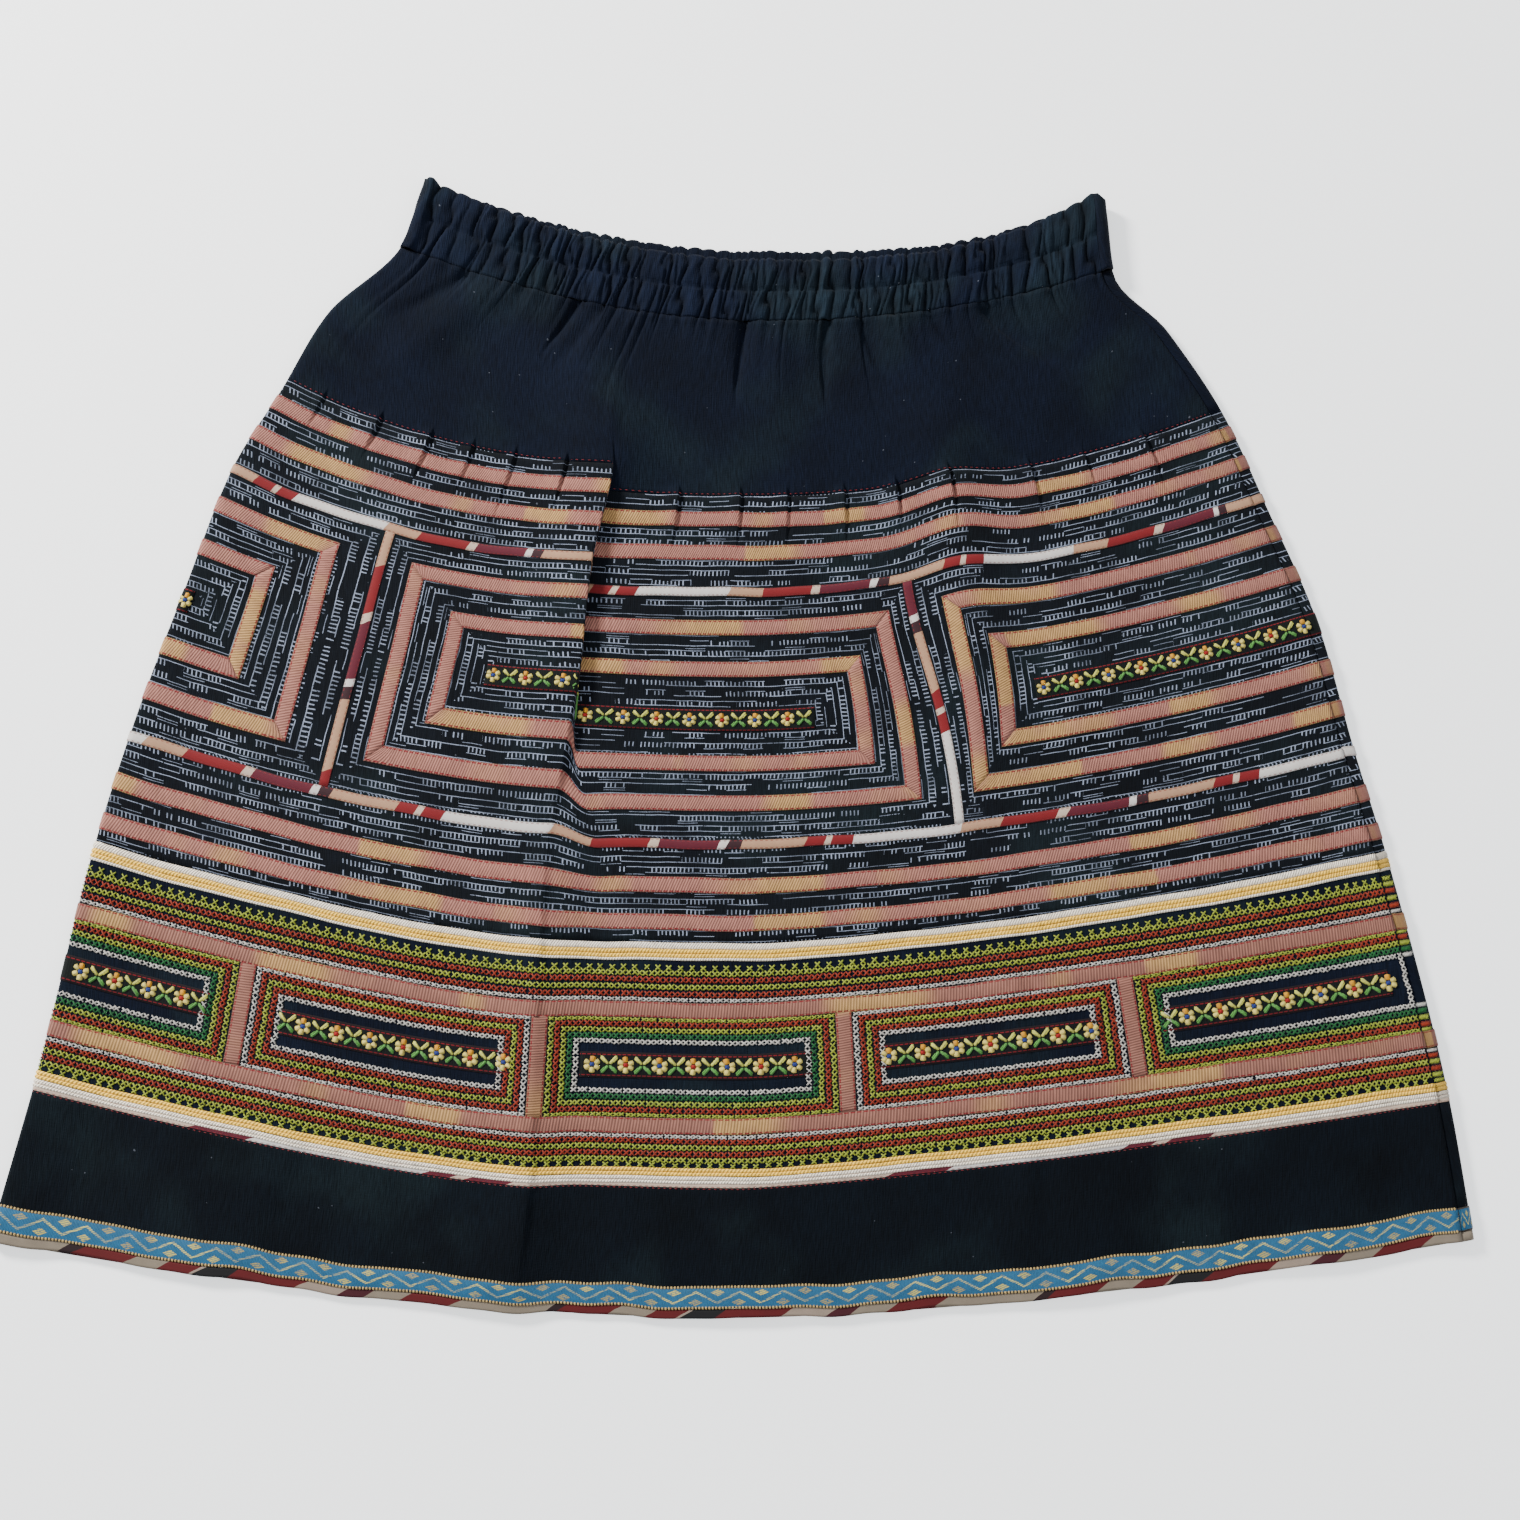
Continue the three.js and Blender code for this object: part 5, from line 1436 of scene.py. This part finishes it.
# Stitches round a flower ribbon: inset from above, from below and from the side, and height of the rows
FRAME_RINGS = [
    (0.9, 0.9, 1.8, 1.7),
    (3.2, 3.3, 4.9, 3.0),
    (6.1, 6.4, 8.0, 2.8),
    (8.9, 9.5, 11.1, 2.9),
    (11.6, 12.4, 14.2, 2.3),
]
STITCHES_FROM = -0.998
FRONT_STITCHES_END = 0.998
BACK_STRIP = (1.004, 1.096)
SEAM_COLUMN = 1.6
SEAM_COLUMN_ROWS = (14, 15)


def lay_crosses(side):
    """The middle and the height of each cross-stitch on a side, by colour."""
    found = {}
    last = FRONT_STITCHES_END if side is FRONT else 1.0

    def row(down, colour, height, start, end, every=1):
        half = half_at(down)
        count = max(1, round(abs(end - start) * half / STITCH / every))
        places = np.linspace(start, end, count + 1)
        places = (places[1:] + places[:-1]) / 2 if every == 1 else places[:-1] + 0.5 * STITCH / half
        sizes = np.broadcast_arrays(places, down, height)
        found.setdefault(colour, []).append(np.stack(sizes, -1))

    def column(across, top, low, colour):
        downs = np.linspace(top, low, max(1, round((low - top) / STITCH)) + 1)
        found.setdefault(colour, []).append(np.stack(np.broadcast_arrays(across, downs, STITCH), -1))

    for down, colour, height, every in STITCH_ROWS:
        row(down, colour, height, STITCHES_FROM, last, every)
        if side is BACK:
            row(down, colour, height, *BACK_STRIP, every)
    half = half_at(ROWS["frame_flower"])
    lefts = [-1.0, *(place + 0.5 * RIBBON / half for place in BAND_DIVIDERS)]
    rights = [*(place - 0.5 * RIBBON / half for place in BAND_DIVIDERS), 1.0]
    final = len(BAND_DIVIDERS)
    for cell, (left, right) in enumerate(zip(lefts, rights)):
        for colour, (upper, lower, inwards, height) in zip(FRAME_COLOURS[cell % 2], FRAME_RINGS):
            start = left + inwards / half if cell > 0 else STITCHES_FROM
            end = right - inwards / half if cell < final else last
            top, low = FRAME_TOP + upper, FRAME_LOW - lower
            for down in (top, low):
                row(down, colour, height, start - STITCH / 2 / half * (cell > 0),
                    end + STITCH / 2 / half * (cell < final))
                if cell == final and side is BACK:
                    row(down, colour, height, *BACK_STRIP)
            if cell > 0:
                column(start, top + STITCH, low - STITCH, colour)
            if cell < final:
                column(end, top + STITCH, low - STITCH, colour)
    if side is FRONT:
        above, under = SEAM_COLUMN_ROWS
        column(1 - SEAM_COLUMN / half / 0.976, FRAME_TOP + above, FRAME_LOW - under, "white")
    return found


THREAD_WIDTH = 0.82
THREAD_HEIGHT = 0.55
BACK_FLATTER = 0.55
# The two threads of a stitch: lean and lift. The lower one is laid first
THREADS = ((1, 0.12), (-1, 0.3))
UNEVEN = dict(across=0.16, down=0.1, reach=(0.88, 1.1), height=(0.9, 1.1), width=(0.85, 1.15))
for side in SIDES:
    flat = 1.0 if side is FRONT else BACK_FLATTER
    for colour, groups in lay_crosses(side).items():
        across, down, height = np.concatenate(groups).T
        count = len(across)
        u = across + draw.normal(0, UNEVEN["across"], count) / NOMINAL_HALF
        down = down + draw.normal(0, UNEVEN["down"], count)
        half = section_at(down)["half"]
        reach_x = STITCH * 0.5 * draw.uniform(*UNEVEN["reach"], count) / half
        reach_x = reach_x * np.where(u > 1, SEAM_SPAN * half / SIDE_SEAM_IN, 1)
        reach_y = height * 0.49 * draw.uniform(*UNEVEN["height"], count)
        soup = Soup()
        for lean, lift in THREADS:
            start = np.stack([side.place(u - reach_x, down), down + lean * reach_y], -1)
            end = np.stack([side.place(u + reach_x, down), down - lean * reach_y], -1)
            width = THREAD_WIDTH * draw.uniform(*UNEVEN["width"], count)
            spindles(soup, side, start, end, width, THREAD_HEIGHT * flat, lift * flat, side.stitch_faces)
        finish_piece(soup, f"cross_stitches_{colour}_{side.name}", colour,
                     panel=f"embroidery_{side.name}")

# Woven flowers: petals by angle, colour and width, leaves by where their tip lies and colour
FLOWER_STEP = 16.4
FLOWER_HEIGHT = 0.75
BACK_FLOWER_FLATTER = 0.3
EDGE_LEAF_ROOM = 5
FIRST_BLOSSOM_ROOM = 3
FIRST_LEAF_ROOM = 1
END_ROOM = 2
PETAL_FROM = 1.1
PETAL_TO = 4.2
PETALS = [
    (90, "petal_gold", 2.9), (28, "petal_cream", 2.6), (-28, "petal_cream", 2.6), (-90, "petal_cream", 2.9),
    (208, "petal_cream", 2.6), (152, "petal_cream", 2.6),
]
# The two stitches of a centre: from, to and height
CENTRES = [((-1.3, -0.7), (1.3, 0.7), 1.15), ((-1.1, 0.8), (1.1, -0.8), 1.25)]
CENTRE_WIDTH = 1.5
LEAVES = [
    ((-3.9, -4.2), "leaf_light"), ((4.1, -4.6), "leaf_light"), ((-3.8, 4.1), "leaf_green"),
    ((4.0, 4.2), "leaf_green"),
]


def flowers_on(gathered, down, start, end, phase, size):
    """Adds stitches of flowers and leaves by look, along a band from start to end."""
    half = half_at(down)
    left = start * half
    first = left + phase
    leaf_from = max(left + FIRST_LEAF_ROOM, EDGE_LEAF_ROOM - half)
    middle = np.array([first, down])

    def stroke(look, begin, tip, width, tall):
        ends = [(middle + point) / (half, 1) for point in (begin, tip)]
        gathered.setdefault(look, []).append((*ends, width, tall))

    for number in range(-1, math.ceil((end * half - END_ROOM - first) / (FLOWER_STEP / 2))):
        middle[0] = first + number * FLOWER_STEP / 2
        blossom = number % 2 == 0
        if middle[0] < (left + FIRST_BLOSSOM_ROOM if blossom else leaf_from):
            continue
        if blossom:
            for angle, look, petal in PETALS:
                turn = math.radians(angle + draw.normal(0, 4))
                ray = np.array([math.cos(turn), -math.sin(turn)]) * size
                stroke(look, ray * PETAL_FROM, ray * PETAL_TO, petal * size * draw.uniform(0.9, 1.1), 1.0)
            centre = "centre_red" if (number // 2) % 2 else "centre_blue"
            for begin, tip, tall in CENTRES:
                stroke(centre, np.array(begin) * size, np.array(tip) * size, CENTRE_WIDTH * size, tall)
        else:
            for tip, look in LEAVES:
                tip = np.array(tip) * size * draw.uniform(0.92, 1.06)
                beside = np.array([np.sign(tip[0]), 0])
                stroke(look, tip * 0.05, tip, 1.6 * size, 1.0)
                stroke(look, tip * 0.25 + beside * 0.9, tip * 0.8 + beside, 0.9, 0.8)


for side in SIDES:
    flat = FLOWER_HEIGHT * (1.0 if side is FRONT else BACK_FLOWER_FLATTER)
    gathered = dict(batik={}, embroidery={})
    for number, (name, start, end) in enumerate(FLOWER_BANDS):
        ends = (start, end) if side is FRONT else (end if end < 1 else BACK_END, start)
        trim(f"flower_band_{name}", "batik", side, "flower_ribbon", "flower_ribbon", [f"flower_band_{name}"],
             row_leg, ROWS["flower"], 11, *ends, shift=number * 70, thickness=0.34)
        flowers_on(gathered["batik"], ROWS["flower"], start, min(end, 0.99), 4 if number else 3.5, 0.88)
    for number, (start, end, phase) in enumerate(BAND_FLOWERS):
        name = f"band_flower_{number + 1}"
        ends = (start, end) if side is FRONT else (end, start)
        trim(name, "embroidery", side, "flower_ribbon", "flower_ribbon", [name], row_leg,
             ROWS["frame_flower"], 12.4, *ends, shift=number * 90, thickness=0.34, fine=False)
        flowers_end = LAST_FLOWER_END if number == len(BAND_DIVIDERS) else end
        flowers_on(gathered["embroidery"], ROWS["frame_flower"], start, flowers_end, phase, 1.0)
    for part, strokes_by_look in gathered.items():
        for look, strokes in strokes_by_look.items():
            soup = Soup()
            first, last, width, tall = (np.array(column) for column in zip(*strokes))
            spindles(soup, side, first, last, width, tall * flat, 0.5 if side is FRONT else 0.36, 24)
            finish_piece(soup, f"flowers_{part}_{look}_{side.name}", look,
                         panel=f"{part}_{side.name}")

# Sewing threads: name, panel, down, step, length, width and height
THREAD_ROWS = [
    ("seam_thread_yoke", "yoke", 125.9, 2.8, 1.9, 0.5, 0.3),
    ("seam_thread_hem", "hem_band", 472.9, 2.7, 1.9, 0.5, 0.3),
]
BEAD_STEP = 1.6
BEAD_LENGTH = 1.05
BEAD_DOWNS = (518.65, 528.15)
BEAD_WIDTH = 1.45
BEAD_HEIGHT = 0.6
BEAD_ROOM = 1.2
for side in SIDES:
    low, high, flat = (-0.998, 0.999, 1.0) if side is FRONT else (-0.998, 1.0, 0.5)
    for name, part, down, step, length, width, height in THREAD_ROWS:
        half = half_at(down)
        places = np.arange(low, high - length / half, step / half)
        soup = Soup()
        start = np.stack([side.place(places, down), np.full(len(places), down)], -1)
        end = np.stack([side.place(places + length / half, down), np.full(len(places), down + 0.15)], -1)
        spindles(soup, side, start, end, width, height * flat, 0.12, 8)
        finish_piece(soup, f"{name}_{side.name}", "red_thread", panel=f"{part}_{side.name}")
    soup = Soup()
    for down in BEAD_DOWNS:
        half = half_at(down)
        places = np.arange(low, high - BEAD_ROOM / half, BEAD_STEP / half)
        downs = down + sway(places, 0.25, 6)
        start = np.stack([side.place(places, down), downs], -1)
        end = np.stack([side.place(places + BEAD_LENGTH / half, down), downs], -1)
        spindles(soup, side, start, end, BEAD_WIDTH, BEAD_HEIGHT * flat, 0.3, side.stitch_faces)
    finish_piece(soup, f"hem_ribbon_beads_{side.name}", "bead", panel=f"hem_band_{side.name}")

# Cut of each panel as it shows, on the front and on the back: width, length and area, and how it is held
SHEETS = dict(
    waistband=((0.46, 0.034, None), (0.45, 0.034, None), "gathered"),
    yoke=((0.49, 0.135, 0.041), (0.5, 0.135, 0.043), "laid"),
    batik=((0.65, 0.275, 0.136), (0.66, 0.275, 0.137), "laid"),
    embroidery=((0.69, 0.16, 0.079), (0.7, 0.16, 0.08), "laid"),
    hem_band=((0.71, 0.095, 0.042), (0.72, 0.09, 0.036), "laid"),
    hem_edging=((0.712, 0.01, 0.0039), (0.718, 0.01, 0.0039), "laid"),
)
for part, (*cuts, held) in SHEETS.items():
    for side, (width, length, area) in zip(SIDES, cuts):
        name = f"{part}_{side.name}"

# Floor and lights
FLOOR = 4.0
floor_mesh = bpy.data.meshes.new("floor")
corners = [(-FLOOR, -FLOOR, 0), (FLOOR, -FLOOR, 0), (FLOOR, FLOOR, 0), (-FLOOR, FLOOR, 0)]
floor_mesh.from_pydata(corners, [], [(0, 1, 2, 3)])
floor = new_object("floor", floor_mesh)
floor_look = Look("floor_paper", (242, 243, 244), roughness=0.9, specular=0.1, dim=1)
floor_look.shader.inputs["Emission Color"].default_value = (0.97, 1.0, 1.0, 1)
floor_look.shader.inputs["Emission Strength"].default_value = 0.9
floor.data.materials.append(floor_look.done())

world = bpy.data.worlds.new("studio")
world.use_nodes = True
world.node_tree.nodes["Background"].inputs[0].default_value = (0.94, 0.96, 1.0, 1)
world.node_tree.nodes["Background"].inputs[1].default_value = 0.75
bpy.context.scene.world = world


def area_light(name, location, size, power, colour):
    """A round light that looks at the skirt's middle."""
    light = bpy.data.lights.new(name, "AREA")
    light.shape = "DISK"
    light.size = size
    light.energy = power
    light.color = colour
    lamp = new_object(name, light)
    lamp.location = location
    tilt = math.atan2(math.hypot(location[0], location[1]), location[2])
    lamp.rotation_euler = (tilt, 0, math.atan2(location[0], -location[1]))


area_light("key", (-1.5, 1.2, 1.1), 0.5, 110, (1.0, 0.98, 0.95))
area_light("fill", (1.3, -0.7, 1.6), 1.6, 14, (0.95, 0.97, 1.0))
